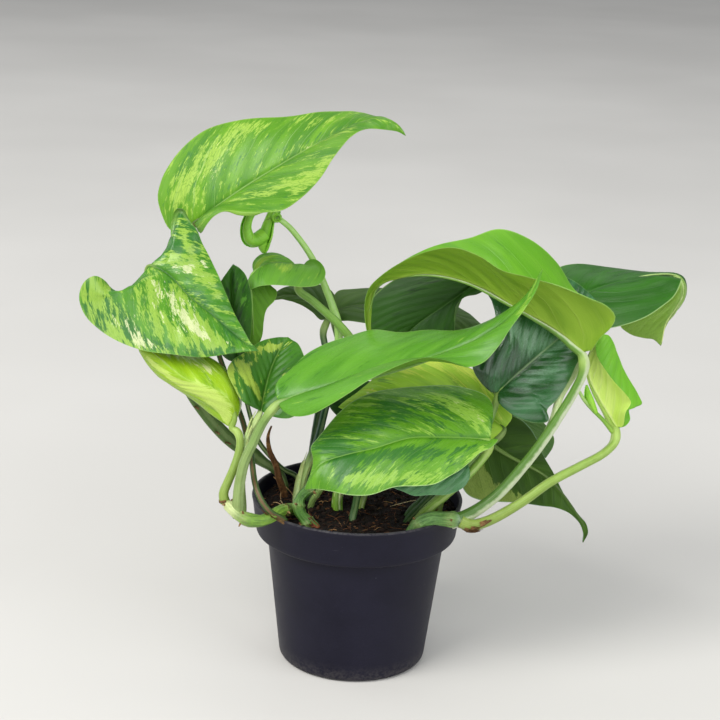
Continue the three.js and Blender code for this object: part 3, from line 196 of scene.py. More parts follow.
        (-62.5, -45, 100.7), (-62.3, -41, 103.2), (-63.3, -38, 112), (-63.7, -34, 122.2), (-63.1, -30, 130.7), (-61.3, -26, 137.5), (-58.4, -23, 145.3),
        (-54.8, -20, 152)],
      "paint": [
        ('l', 0.33, -0.90, 0.14, -0.05, 5, 0.12), ('l', 0.51, -1.00, 0.85, -0.20, 3, 0.16), ('c', 0.28, -0.80, 0.15, -0.45, 1.6, 0.16),
        ('l', 0.36, -0.85, 0.16, -0.25, 2.5, 0.16), ('l', 0.61, -0.60, 0.12, -0.55, 2, 0.12), ('l', 0.23, -0.95, 0.11, -1.00, 3, 0.12),
        ('d', 0.38, 0.20, 0.60, 0.80, 9, 0.06), ('c', 0.41, -0.85, 0.31, -0.35, 1.2, 0.12), ('l', 0.72, -0.65, 0.90, 0.65, 3, 0.08)],
    },
    "leaf_front_long": {
      "arch": 0.07, "r": (2.7, 1.9),
      "mid": [
        (-44.1, -40, 164.3), (-32.9, -40, 169.3), (-16.9, -40, 174.4), (-1, -39, 179.3), (14.9, -38, 183.5), (36.1, -36, 191.7), (57.1, -35, 200.6),
        (74, -36, 212.1), (86.2, -39, 226.7), (92.6, -43, 244.3)],
      "left": [
        (-44.1, -40, 164.3), (-46.5, -37, 168.9), (-45.8, -33, 173.3), (-39.3, -25, 177.9), (-31.6, -16, 184), (-21, -8, 188.4), (-9.1, -3, 192),
        (4.6, -1, 196), (20.1, -4, 195.8), (36.4, -9, 199), (52.6, -14, 201.1), (65.5, -20, 207.8), (77, -27, 217.5), (86.4, -35, 228.9),
        (92.6, -43, 244.3)],
      "right": [
        (-44.1, -40, 164.3), (-42.7, -44, 161.7), (-36.5, -50, 160), (-26.7, -55, 162.7), (-16.2, -59, 170), (-5.9, -62, 178.1), (4.3, -64, 186.3),
        (18.6, -65, 194.8), (32.5, -62, 198.8), (43.2, -57, 196.7), (55.7, -52, 191.8), (64.2, -49, 194), (71.4, -46, 201.7), (77.2, -45, 211),
        (84.5, -44, 221.9), (89.7, -43, 232.8), (92.6, -43, 244.3)],
      "petiole": [
        (-64, -46.5, 99.5), (-64.7, -45, 101.2), (-64.8, -45, 108.8), (-64, -44, 120.1), (-61.6, -43, 131.4), (-58, -42, 139.8), (-52.9, -41, 151.7),
        (-48.2, -41, 159.3), (-44.1, -40, 164.3)],
      "paint": [
        ('l', 0.03, -0.50, 0.10, -0.50, 6, 0.08), ('c', 0.01, -0.05, 0.06, -0.40, 3, 0.14), ('l', 0.03, 0.40, 0.12, 0.85, 4, 0.12),
        ('l', 0.80, 1.00, 1.00, -1.00, 8, 0.26), ('l', 0.55, -0.50, 0.78, 0.80, 4, 0.08), ('l', 0.12, 1.00, 0.41, 0.85, 3, 0.05),
        ('l', 0.38, -0.40, 0.64, -0.20, 4, 0.03)],
    },
    "leaf_right_arching": {
      "arch": 0.05, "r": (2.9, 2.1),
      "mid": [
        (119.3, -24, 194.2), (110.2, -22, 201.8), (98, -20, 209.2), (84.3, -17, 215.1), (65, -12, 224.8), (45.9, -6, 229.2), (32.4, -2, 229.4),
        (18.8, 2, 225.5), (8.6, 6, 220.7), (3.8, 8, 215.4), (2.4, 8, 206.7), (2.4, 6, 193.3), (6.2, 3, 181.6)],
      "left": [
        (119.3, -24, 194.2), (122.7, -26, 195.5), (127, -30, 204.2), (132.4, -34, 212.3), (133.2, -36, 218.4), (127.9, -37, 224), (119.2, -37, 227.5),
        (102.9, -36, 233.7), (86.8, -35, 237.7), (72, -33, 240.4), (60.2, -29, 246.6), (46.9, -24, 249.8), (33.9, -17, 246), (19.4, -8, 236.5),
        (8.9, -1, 227), (2, 3, 217.8), (0.2, 4, 208.2), (1.2, 3, 195.3), (6.2, 3, 181.6)],
      "right": [
        (119.3, -24, 194.2), (124.5, -18, 198.3), (128.1, -10, 205.9), (124.8, -4, 215.4), (115.2, 4, 222.1), (105, 11, 235.3), (90.2, 15, 246.2),
        (73.4, 17, 250.8), (57, 16, 245.8), (40.5, 15, 242), (26.8, 14, 236), (16.6, 13, 229), (8.4, 11, 223.4), (4.8, 10, 216.6),
        (4.1, 9, 206.5), (4.1, 6, 193.4), (6.2, 3, 181.6)],
      "petiole": [
        (51.9, -41.5, 100), (56.2, -42, 101.5), (67.4, -40, 107.7), (78, -38, 116.7), (88.3, -36, 129.2), (98.4, -34, 143.4), (108.5, -31, 160.1),
        (115.9, -29, 174.1), (120.1, -27, 185.6), (119.3, -24, 194.2)],
      "paint": [
        ('l', 0.26, -1.00, 0.07, -0.95, 6, 0.06), ('c', 0.29, 0.90, 0.20, 0.50, 1.6, 0.16), ('l', 0.49, 0.75, 0.24, 0.90, 5, 0.05),
        ('l', 0.30, 0.85, 0.21, 0.55, 3, 0.1)],
    },
    "leaf_centre_hanging": {
      "arch": 0.07, "r": (1.9, 1.5),
      "mid": [
        (68.8, 26, 223.2), (61.9, 27, 216.8), (45.6, 29, 203.3), (28.7, 30, 189.3), (16.7, 30, 175.1)],
      "left": [
        (68.8, 26, 223.2), (69.6, 23, 217), (63.6, 22, 212.3), (56.4, 22, 210.3), (51.5, 22, 205.4), (51.2, 24, 197.2), (51.4, 25, 188.1),
        (46.3, 26, 177.5), (32.9, 28, 171.5), (16.7, 30, 175.1)],
      "right": [
        (68.8, 26, 223.2), (66.5, 31, 228.8), (55.8, 35, 230.3), (41.9, 37, 226.4), (25.1, 37, 219.8), (10.6, 36, 210.6), (1.9, 35, 199.9),
        (1.2, 33, 188.5), (6.2, 31, 179.2), (16.7, 30, 175.1)],
      "petiole": [
        (36, -2, 81), (36, -2, 90), (39, 0, 100), (53.7, 4, 108), (63.4, 10, 123.2), (72.9, 18, 145.1), (78.9, 25, 167.1),
        (80.7, 30, 189.6), (76.7, 31, 209.9), (68.8, 26, 223.2)],
      "paint": [
        ('d', 0.49, 0.60, 0.16, 0.25, 12, 0.06)],
    },
    "leaf_right_dark": {
      "arch": 0.07, "r": (2, 1.6),
      "mid": [
        (76.8, -10, 166.3), (84.7, -8, 174.2), (94.5, -4, 182.6), (104.8, 0, 191.1), (117.5, 6, 200.9), (130, 12, 213.6)],
      "left": [
        (76.8, -10, 166.3), (72.8, -12, 165.1), (67.6, -12, 168.9), (62.3, -11, 175.3), (60.4, -10, 180.7), (61.3, -6, 187.6), (66.7, 0, 195.9),
        (72.7, 5, 203.4), (70.9, 10, 210.6), (67.4, 14, 216.9), (75, 19, 225.2), (94.6, 21, 228.4), (115.3, 17, 223.8), (130, 12, 213.6)],
      "right": [
        (76.8, -10, 166.3), (75.7, -14, 161.2), (80.2, -17, 157.1), (87.4, -19, 153.4), (97, -19, 150.9), (103.6, -18, 152), (102.5, -15, 156.8),
        (108.5, -11, 162.7), (115.6, -5, 172.7), (120, 0, 180.7), (125.5, 5, 189.3), (130.8, 9, 198.8), (132.6, 11, 207.6), (130, 12, 213.6)],
      "petiole": [
        (38, -17, 81), (38, -17, 90), (41, -18, 98), (49, -20, 105.6), (57.8, -20, 119), (66.9, -18, 136.4), (72.5, -13, 150.8),
        (75, -10, 159.2), (76.8, -10, 166.3)],
      # the pale bluish strokes are a painted sheen, standing in for reflections on this glossy dark blade
      "paint": [
        ('d', 0.03, -1.00, 0.19, -0.65, 9, 0.16), ('d', 0.11, -0.75, 0.20, 0.15, 11, 0.16), ('l', 0.34, -0.40, 0.54, 0.20, 8, 0.3),
        ('l', 0.16, 0.15, 0.39, 0.50, 7, 0.28), ('l', 0.04, 0.60, 0.14, 0.60, 4, 0.25)],
    },
    "leaf_right_far": {
      "arch": 0.05, "r": (2.3, 1.6),
      "mid": [
        (119.1, 42, 205.7), (135.1, 46, 213), (158.2, 50, 218.9), (174.2, 50, 221.3), (181, 48, 219.1), (183.6, 46, 212), (180, 44, 203.4),
        (174.2, 42, 193.6), (172.1, 40, 180.8)],
      "left": [
        (119.1, 42, 205.7), (112.7, 52, 211.8), (110.8, 62, 218.2), (122.5, 69, 220.5), (143.7, 73, 218.5), (164, 70, 217.1), (177.6, 63, 217.6),
        (184.2, 57, 218.2), (186.1, 55, 212.7), (184.7, 53, 205.4), (179.5, 49, 198.5), (173.3, 45, 189.7), (172.1, 40, 180.8)],
      "right": [
        (119.1, 42, 205.7), (120, 34, 197.2), (128.8, 28, 193.3), (140.9, 25, 194.7), (157.6, 26, 200.4), (167.8, 29, 206.5), (176.3, 33, 213.4),
        (180.6, 40, 221.8), (178.1, 48, 212.5), (167.4, 55, 201.1), (157.6, 57, 195.4), (150.7, 56, 192.3), (149.6, 54, 188), (155.5, 52, 183.9),
        (163.7, 47, 183), (167.9, 44, 183.4), (172.1, 40, 180.8)],
      "petiole": [
        (55.1, -41, 101.4), (59.8, -36, 100.4), (67.9, -33, 104.9), (78.7, -30, 113.7), (89.2, -26, 125.5), (99.8, -21, 138.9), (106.7, -15, 151.1),
        (110.4, -8, 163), (119.4, 6, 173.5), (124.8, 22, 184.8), (124.1, 34, 196.2), (119.1, 42, 205.7)],
      # the strong pale strokes at the tip are partly the underside's own olive-lime and partly painted light on a part
      # that faces down into shade
      "paint": [
        ('d', 0.07, -0.25, 0.40, 0.50, 8, 0.04), ('l', 0.82, 0.75, 0.95, 0.00, 16, 0.7), ('l', 0.71, -0.20, 0.94, 0.00, 16, 0.7),
        ('l', 0.85, 0.35, 0.86, 0.00, 12, 0.7)],
    },
    "leaf_right_young": {
      "arch": 0.12, "r": (2.5, 1.9),
      "mid": [
        (143.7, -6, 146), (137.8, -8, 154.7), (131.3, -9, 164.7), (126.3, -8, 174.1), (124.8, -6, 182.7), (127.1, -4, 190.9), (131.2, -2, 198.5)],
      "left": [
        (143.7, -6, 146), (146.1, -12, 148.8), (146.4, -17, 158.1), (148.1, -20, 165.5), (144.5, -20, 170), (138.6, -19, 176.4), (133.5, -17, 182.4),
        (129.1, -13, 187.9), (128.2, -8, 193.3), (131.2, -2, 198.5)],
      "right": [
        (143.7, -6, 146), (148, -7, 147.1), (150.5, -7, 150.8), (150.1, -3, 155.3), (152, 1, 158.8), (158, 3, 157.2), (155.5, 4, 162.1),
        (151.6, 4, 168.4), (147, 4, 176.5), (141.6, 3, 187.1), (136.2, 1, 196.7), (131.2, -2, 198.5)],
      "petiole": [
        (57.2, -43.5, 101), (62.8, -44, 99.1), (73.2, -41, 101.3), (89.4, -37, 110.3), (105.7, -31, 121.1), (122.4, -24, 128.5), (136.2, -16, 133.9),
        (142.8, -9, 138.7), (143.7, -6, 146)],
      "paint": [
        ('l', 0.88, 0.25, 0.21, -0.80, 8, 0.12), ('c', 0.56, -0.50, 0.20, -0.75, 3, 0.08)],
    },
    "leaf_right_drooping": {
      "arch": 0.05, "r": (2, 1.5),
      "mid": [
        (72.9, 4, 130.6), (86.2, 1, 123.2), (98.3, -1, 117.8), (106.4, -3, 113.5), (115.8, -6, 104.7), (123.5, -9, 95.3), (129.1, -10, 87.4),
        (129.3, -10, 77)],
      "left": [
        (72.9, 4, 130.6), (65.2, 3, 125.8), (59.9, 1, 116.7), (58.6, -2, 108.1), (62.2, -4, 101.7), (69.6, -6, 99.1), (81, -7, 98.8),
        (92.2, -8, 99), (103.5, -9, 98.1), (111.9, -10, 97.6), (119.5, -10, 94.9), (126.1, -10, 89.1), (128.8, -10, 83.1), (129.3, -10, 77)],
      "right": [
        (72.9, 4, 130.6), (70.4, 7, 138.5), (76.3, 9, 145.8), (89.5, 9, 144), (96.1, 9, 138.9), (101, 8, 131.6), (104.8, 6, 123.4),
        (112, 2, 113), (117.9, -3, 103), (123.7, -7, 95.7), (130.2, -9, 88.9), (131.7, -10, 83.2), (129.3, -10, 77)],
      "petiole": [
        (46, -8, 81), (46, -8, 90), (48, -6, 99), (58.8, -3, 113.3), (65.8, 1, 123), (72.9, 4, 130.6)],
      "paint": [
        ('l', 0.07, -0.85, 0.23, -1.00, 12, 0.5), ('c', 0.10, -0.80, 0.21, -1.00, 6, 0.22), ('l', 0.16, -0.60, 0.24, -0.80, 4, 0.14),
        ('d', 0.07, 0.20, 0.46, -0.05, 10, 0.1), ('l', 0.40, -0.90, 0.76, -0.70, 5, 0.08)],
    },
    "leaf_front_variegated": {
      "arch": 0.07, "r": (2.8, 2),
      "mid": [
        (70.8, -38, 146.6), (59.7, -40, 148), (43.4, -43, 148.9), (27.1, -46, 148.8), (8.5, -50, 143.7), (-7.4, -53, 140.2), (-19.5, -55, 135.8),
        (-25.7, -56, 127.9), (-28.1, -57, 120.8)],
      "left": [
        (70.8, -38, 146.6), (75.1, -38, 147.3), (71.8, -42, 144), (65.1, -47, 142.1), (59.8, -51, 138.2), (54.5, -54, 134.5), (49.1, -57, 132),
        (41.3, -59, 127.9), (32.2, -61, 127.1), (19.9, -63, 126.8), (6.8, -65, 122.5), (-3.9, -65, 122), (-14.6, -63, 123.1), (-23.3, -60, 122.7),
        (-28.1, -57, 120.8)],
      "right": [
        (70.8, -38, 146.6), (71.3, -34, 151), (72.4, -28, 157), (71.8, -22, 162.5), (68, -18, 165.7), (57.1, -14, 168), (46, -13, 168.9),
        (32.2, -14, 168.1), (18.5, -16, 167), (7.5, -19, 165.2), (-3.3, -23, 160.9), (-11.2, -28, 155.3), (-17.4, -34, 149.6), (-22.5, -40, 144.6),
        (-26, -45, 141.1), (-24.5, -50, 135.5), (-25.8, -54, 127.8), (-28.1, -57, 120.8)],
      "petiole": [
        (32, -29, 81), (32, -29, 90), (35.2, -31, 96.8), (41.4, -34, 106), (49.1, -36, 114.1), (55.9, -37, 121.3), (63.1, -36, 129.4),
        (69.2, -36, 138.3), (70.8, -38, 146.6)],
      "paint": [
        ('l', 0.51, 0.85, 0.26, 0.70, 6, 0.06), ('l', 0.23, 0.65, 0.05, 0.30, 6, 0.05), ('c', 0.17, 0.55, 0.10, 0.25, 2, 0.1),
        ('d', 0.10, -0.40, 0.70, -0.15, 4, 0.12), ('c', 0.12, 0.70, 0.05, 0.30, 2, 0.12), ('d', 0.51, 0.85, 0.23, 0.60, 5, 0.03),
        ('d', 0.35, 0.60, 0.12, 0.45, 4, 0.09), ('d', 0.42, 0.50, 0.23, 0.25, 6, 0.07), ('d', 0.59, 0.70, 0.16, 0.55, 7, 0.07),
        ('d', 0.72, 0.50, 0.39, 0.30, 5, 0.07), ('c', 0.14, 0.60, 0.06, 0.40, 3, 0.12), ('l', 0.15, 0.65, 0.05, 0.30, 7, 0.1),
        ('l', 0.68, -0.65, 0.09, -1.00, 6, 0.11), ('d', 0.71, 0.90, 0.71, -0.45, 8, 0.2), ('d', 0.71, -0.65, 0.56, -0.75, 3, 0.1),
        ('d', 0.59, -0.30, 0.05, -0.60, 5, 0.06), ('c', 0.72, 0.00, 0.42, 0.10, 2, 0.06), ('l', 0.72, 0.15, 0.24, 0.10, 3, 0.08),
        ('l', 0.68, -0.15, 0.10, -0.15, 7, -0.14), ('l', 0.79, 0.40, 0.66, -0.25, 7, -0.12), ('d', 0.81, 0.05, 0.69, -0.25, 5, 0.06),
        ('l', 0.71, -0.60, 0.23, -0.85, 5, 0.06)],
    },
    "leaf_front_second": {
      "arch": 0.1, "r": (1.9, 1.5),
      "mid": [
        (81.6, -1, 141.1), (67.2, 2, 150.2), (50, 1, 155.8), (33, 0, 157.8), (16.2, -4, 157.2), (0.6, -8, 155.5), (-12.6, -11, 153)],
      "left": [
        (81.6, -1, 141.1), (74.3, -6, 135.4), (57.2, -11, 137.7), (39.1, -14, 140.3), (22.3, -16, 142.1), (6.6, -16, 145.6), (-4.7, -13, 149.9),
        (-12.6, -11, 153)],
      "right": [
        (81.6, -1, 141.1), (85.5, 3, 147.1), (78.4, 5, 154.4), (70.3, 9, 162.3), (62.5, 11, 170.8), (55.7, 12, 172.6), (45.9, 13, 176),
        (32.9, 13, 176.3), (20.7, 11, 172.4), (9.6, 6, 167.3), (-0.8, -1, 160.2), (-7.8, -6, 155.7), (-12.6, -11, 153)],
      "petiole": [
        (28, -10, 81), (29, -10, 90), (37.7, -10, 100.6), (48.5, -10, 110.7), (59.3, -9, 119.8), (70.1, -8, 130), (78.3, -4, 136.7),
        (81.6, -1, 141.1)],
      "paint": [
        ('c', 0.85, 0.30, 0.75, 0.60, 2, 0.16), ('d', 0.65, 0.90, 0.65, 0.35, 2, 0.1), ('l', 0.94, 0.55, 0.14, 0.85, 12, 0.08),
        ('c', 0.79, 0.60, 0.56, 0.80, 3, 0.12), ('d', 0.72, 0.75, 0.57, 0.85, 2, 0.1), ('l', 0.51, 0.95, 0.17, 1.00, 5, 0.08)],
    },
    "leaf_front_small": {
      "arch": 0.08, "r": (1.6, 1.2),
      "mid": [
        (59.6, -38, 132.3), (49.8, -41, 130.1), (36.3, -44, 127.2), (22.8, -46, 125.6), (9.7, -48, 125.8)],
      "left": [
        (59.6, -38, 132.3), (60.8, -42, 126.8), (57.6, -46, 121.9), (52.8, -48, 119.5), (47.4, -49, 118), (39.3, -50, 118), (31.1, -52, 117.9),
        (25.6, -53, 120.3), (17.4, -52, 123.1), (9.7, -48, 125.8)],
      "right": [
        (59.6, -38, 132.3), (56.9, -31, 137.7), (47.1, -26, 139.6), (33.4, -28, 137.4), (19.8, -36, 132.2), (9.7, -48, 125.8)],
      "petiole": [
        (27, -20, 81), (28, -20, 90), (34.2, -22, 99.1), (41.5, -24, 108.6), (48.7, -27, 117.2), (55.2, -33, 126.7), (59.6, -38, 132.3)],
      "paint": [
        ('d', 0.70, 0.35, 0.15, -0.15, 8, 0.03)],
    },
    "leaf_inner_dark": {
      "arch": 0.08, "r": (1.6, 1.3),
      "mid": [
        (23.1, 18, 129.7), (6.6, 15, 140.9), (-9, 11, 148.3), (-19.9, 8, 153)],
      "left": [
        (23.1, 18, 129.7), (15.2, 13, 126.3), (1.3, 9, 131.9), (-10.3, 6, 139.7), (-16.8, 6, 146), (-19.9, 8, 153)],
      "right": [
        (23.1, 18, 129.7), (26.1, 24, 141.1), (15.3, 27, 151.9), (0.1, 24, 159.4), (-12.4, 17, 159.9), (-19.9, 8, 153)],
      "petiole": [
        (2.4, -2.3, 81), (2.4, -2.3, 90), (4.9, -0, 99), (10.2, 5, 109.5), (17.8, 12, 119.4), (23.1, 18, 129.7)],
      "paint": [
        ('d', 0.78, -0.45, 0.11, 0.65, 9, 0.05)],
    },
    "leaf_right_hidden": {
      "arch": 0.08, "r": (1.6, 1.3),
      "mid": [
        (82.1, 14, 149.8), (92.7, 17, 139), (102.1, 18, 126.9), (107.8, 17, 117.7)],
      "left": [
        (82.1, 14, 149.8), (82.2, 14, 137.8), (91, 15, 126.2), (100.2, 16, 118.9), (107.8, 17, 117.7)],
      "right": [
        (82.1, 14, 149.8), (97.1, 20, 144.8), (106.3, 21, 137), (112, 20, 129), (111.6, 19, 123.8), (107.8, 17, 117.7)],
      "petiole": [
        (44, 4, 81), (44, 4, 90), (46, 7, 99), (59.7, 14, 109.4), (70.5, 18, 126.8), (77.6, 17, 140.8), (82.1, 14, 149.8)],
    },
}

STEMS = {
    "vine_left": {"path": [
        (-30, -13, 80), (-31, -15, 90), (-36, -27, 97.5), (-42.6, -40.5, 100.9), (-47.1, -46, 99.7), (-51.8, -49, 98.9), (-57.8, -49, 99),
        (-63.5, -47, 100.3), (-68.7, -44, 103.6), (-72.8, -41, 106.9)],
        "r": [[0, 2.3], [0.25, 2.7], [0.45, 2.8], [0.68, 2.6], [0.76, 3.3], [0.82, 2.5], [0.95, 2.6], [1, 2.2]]},
    "vine_right": {"path": [
        (27, -41, 80), (30, -41, 90), (36, -41, 98.5), (42.6, -40, 100.7), (48, -41, 100.8), (53.4, -43, 101.5), (58.3, -43.5, 101.6)],
        "r": [[0, 2.6], [0.3, 3.0], [0.7, 3.0], [0.9, 3.4], [1, 2.6]]},
    "vine_centre": {"path": [
        (-22, -37, 81), (-22.5, -37, 90), (-27.2, -37, 94.8), (-31.5, -36, 100.2), (-31.5, -34, 106.5), (-27.2, -33, 111.6), (-21.9, -33, 115.9)],
        "r": [[0, 2.4], [0.2, 2.7], [0.35, 3.1], [0.45, 2.4], [0.6, 2.9], [0.7, 2.2], [0.9, 2.6], [1, 2.0]]},
    "stem_stub": {"path": [
        (-26.5, -5.5, 81), (-26.5, -5.5, 90), (-25, -7, 95.6), (-22.2, -9, 100.7), (-20.1, -10, 104.8)],
        "r": [[0, 1.5], [1, 1.6]]},
    "dry_petiole": {"path": [
        (-42, 12, 81), (-42, 12, 90), (-45.3, 8, 102.4), (-47.2, 7, 110.6), (-50.7, 6, 118.7), (-52, 5, 126.3), (-51.4, 4, 131.5),
        (-50.1, 4, 135.1)],
        "r": [[0, 1.9], [0.45, 1.9], [0.6, 1.7], [0.85, 1.0], [1, 0.5]]},
}

ROLLED = [
    {"path": [
        (-34.3, -3, 81), (-34.3, -3, 90), (-32.7, -3, 99.8), (-30.4, 3, 109.8), (-27.4, 9, 116.8), (-23.9, 18, 124.1), (-20.6, 27, 138.2),
        (-16.7, 36, 155), (-14.5, 43, 171.2), (-15, 46, 184.2), (-18.3, 48, 193.8), (-22.1, 50, 202.7), (-27.1, 50, 214.4), (-33.2, 48, 226),
        (-38.5, 46, 233.9), (-44.3, 44, 241.2), (-50, 42, 246.3), (-53.8, 42, 248.2)],
        "r": [[0, 1.9], [0.5, 1.8], [0.62, 1.9], [0.75, 1.5], [1, 1.2]]},
    {"path": [
        (-51.8, 42, 247.7), (-54.7, 42.5, 249.5), (-56.3, 43, 245), (-57.9, 43, 238.5), (-59.2, 42.5, 232.1), (-58.7, 42, 226.4)],
        "r": [[0, 1.2], [0.2, 2.0], [0.5, 2.7], [0.75, 2.9], [0.92, 2.2], [1, 1.0]]},
    {"path": [
        (-57.9, 43, 237.3), (-62.3, 41.5, 234), (-66.8, 40, 234.5), (-68.8, 40, 239.9), (-67.6, 41, 246.7), (-63.3, 42, 252.5)],
        "r": [[0, 2.5], [0.2, 2.4], [0.4, 2.5], [0.7, 1.9], [1, 0.9]]},
]


# ------------------------------------------------------------------ numbers
def hashed(i, j, k, seed):
    h = (i * 374761393 + j * 668265263 + k * 1440662683 + (seed + 1) * 974634777) & 0xFFFFFFFF
    h = ((h ^ (h >> 13)) * 1274126177) & 0xFFFFFFFF
    return ((h ^ (h >> 16)) & 0xFFFF) / 65535.0


def noise3(P, seed=0):
    P = np.asarray(P, float)
    f = np.floor(P)
    q = P - f
    q = q * q * (3 - 2 * q)
    I = f.astype(np.int64)
    out = np.zeros(P.shape[:-1])
    for a in (0, 1):
        for b in (0, 1):
            for c in (0, 1):
                w = (q[..., 0] if a else 1 - q[..., 0]) * (q[..., 1] if b else 1 - q[..., 1]) * (q[..., 2] if c else 1 - q[..., 2])
                out += w * hashed(I[..., 0] + a, I[..., 1] + b, I[..., 2] + c, seed)
    return out * 2 - 1


def fbm(P, octaves=4, seed=0, gain=0.5):
    P = np.asarray(P, float)
    out, amp, tot = 0, 1.0, 0
    for o in range(octaves):
        out = out + amp * noise3(P * 2 ** o + 17.3 * o, seed + o)
        tot += amp
        amp *= gain
    return out / tot


def smooth(a, b, x):
    t = np.clip((np.asarray(x, float) - a) / (b - a), 0, 1)
    return t * t * (3 - 2 * t)


def unit(v):
    return v / np.maximum(np.linalg.norm(v, axis=-1, keepdims=True), 1e-9)


def dense(P, n=24):
    """A centripetal curve through the points, sampled closely."""
    P = np.asarray(P, float)
    A = np.vstack([2 * P[0] - P[1], P, 2 * P[-1] - P[-2]])
    out = []
    for i in range(len(P) - 1):
        p0, p1, p2, p3 = A[i:i + 4]
        t1 = max(np.linalg.norm(p1 - p0), 1e-6) ** 0.5
        t2 = t1 + max(np.linalg.norm(p2 - p1), 1e-6) ** 0.5
        t3 = t2 + max(np.linalg.norm(p3 - p2), 1e-6) ** 0.5
        t = np.linspace(t1, t2, n, endpoint=(i == len(P) - 2))[:, None]
        a1 = (t1 - t) / t1 * p0 + t / t1 * p1
        a2 = (t2 - t) / (t2 - t1) * p1 + (t - t1) / (t2 - t1) * p2
        a3 = (t3 - t) / (t3 - t2) * p2 + (t - t2) / (t3 - t2) * p3
        b1 = (t2 - t) / t2 * a1 + t / t2 * a2
        b2 = (t3 - t) / (t3 - t1) * a2 + (t - t1) / (t3 - t1) * a3
        out.append((t2 - t) / (t2 - t1) * b1 + (t - t1) / (t2 - t1) * b2)
    return np.vstack(out)


def length_of(D):
    return float(np.linalg.norm(np.diff(D, axis=0), axis=1).sum())


def along(D, u):
    s = np.r_[0, np.cumsum(np.linalg.norm(np.diff(D, axis=0), axis=1))]
    s /= s[-1]
    return np.stack([np.interp(u, s, D[:, k]) for k in range(3)], -1)


# ------------------------------------------------------------------ meshes
class Build:
    """Gathers the sheets and tubes of one piece: vertices in mm, faces, a material number for each face, and what the materials read."""

    def __init__(self):
        self.V, self.F, self.M, self.UV, self.LC, self.PA = [], [], [], [], [], []
        self.n = 0

    def add(self, V, F, mat, uv=None, lc=None, paint=None):
        V = np.asarray(V, float)
        k = len(V)
        self.V.append(V)
        self.F += [tuple(int(i) + self.n for i in f) for f in F]
        self.M += list(mat) if hasattr(mat, "__len__") else [mat] * len(F)
        self.UV.append(np.zeros((k, 2)) if uv is None else np.asarray(uv, float))
        self.LC.append(V / 10 if lc is None else np.asarray(lc, float))
        self.PA.append(np.zeros((k, 4)) if paint is None else np.asarray(paint, float))
        self.n += k

    def make(self, name, materials, replaces=(), sharp=None):
        V = np.vstack(self.V)
        me = bpy.data.meshes.new(name)
        me.from_pydata((V * MM).tolist(), [], self.F)
        me.update()
        uv = np.vstack(self.UV)
        loops = np.zeros(len(me.loops), np.int32)
        me.loops.foreach_get("vertex_index", loops)
        layer = me.uv_layers.new(name="UVMap")
        layer.data.foreach_set("uv", uv[loops].astype(np.float32).ravel())
        a = me.attributes.new("lc", "FLOAT_VECTOR", "POINT")
        a.data.foreach_set("vector", np.vstack(self.LC).astype(np.float32).ravel())
        a = me.attributes.new("paint", "FLOAT_COLOR", "POINT")
        a.data.foreach_set("color", np.vstack(self.PA).astype(np.float32).ravel())
        me.polygons.foreach_set("material_index", np.array(self.M, np.int32))
        me.polygons.foreach_set("use_smooth", np.ones(len(me.polygons), bool))
        for m in materials:
            me.materials.append(m)
        if sharp:
            me.set_sharp_from_angle(angle=math.radians(sharp))
        ob = bpy.data.objects.new(name, me)
        bpy.context.scene.collection.objects.link(ob)
        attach(ob, "root")
        if replaces:
            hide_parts(*replaces)
        return ob


def blade_rows(leaf, ns, nt):
    """The middle sheet of a blade: points, and s, t and half-width at each."""
    s = np.linspace(0, 1, ns + 1) ** 1.35
    tt = np.linspace(0, 1, nt + 1) ** 1.25
    dm, dl, dr = dense(leaf["mid"]), dense(leaf["left"]), dense(leaf["right"])
    m = along(dm, s)
    tan = unit(along(dm, np.minimum(s + 0.02, 1)) - along(dm, np.maximum(s - 0.02, 0)))
    G = np.zeros((ns + 1, 2 * nt + 1, 3))
    T = np.zeros((ns + 1, 2 * nt + 1))
    W = np.zeros((ns + 1, 2 * nt + 1))
    G[:, nt] = m
    arch = leaf["arch"]
    for sign, D in ((-1, dl), (1, dr)):
        w = along(D, s ** 0.62) - m
        wl = np.linalg.norm(w, axis=1, keepdims=True)
        n = unit(np.cross(tan, w if sign < 0 else -w))
        for j in range(1, nt + 1):
            t = tt[j]
            rise = arch * (np.sin(np.pi * t) + 0.5 * (1 - t) ** 2 * t)
            c = nt + sign * j
            G[:, c] = m + w * t + n * wl * rise
            if sign in leaf.get("dip", {}):
                # the row sinks between the midrib and a lobe that stands up
                a = np.interp(s ** 0.62, [q for q, _ in leaf["dip"][sign]], [q for _, q in leaf["dip"][sign]])
                G[:, c] += np.array([0, -0.29, -0.957]) * (a * 6.75 * t * t * (1 - t))[:, None]
            T[:, c] = sign * t
            W[:, c] = wl[:, 0]
    W[:, nt] = (W[:, nt - 1] + W[:, nt + 1]) / 2
    return G, s, T, W, length_of(dm)


def sheet_normals(G):
    du = np.gradient(G, axis=0)
    dv = np.gradient(G, axis=1)
    return unit(np.cross(du, -dv))


def seed_of(leaf):
    return leaf.get("seed", 0)


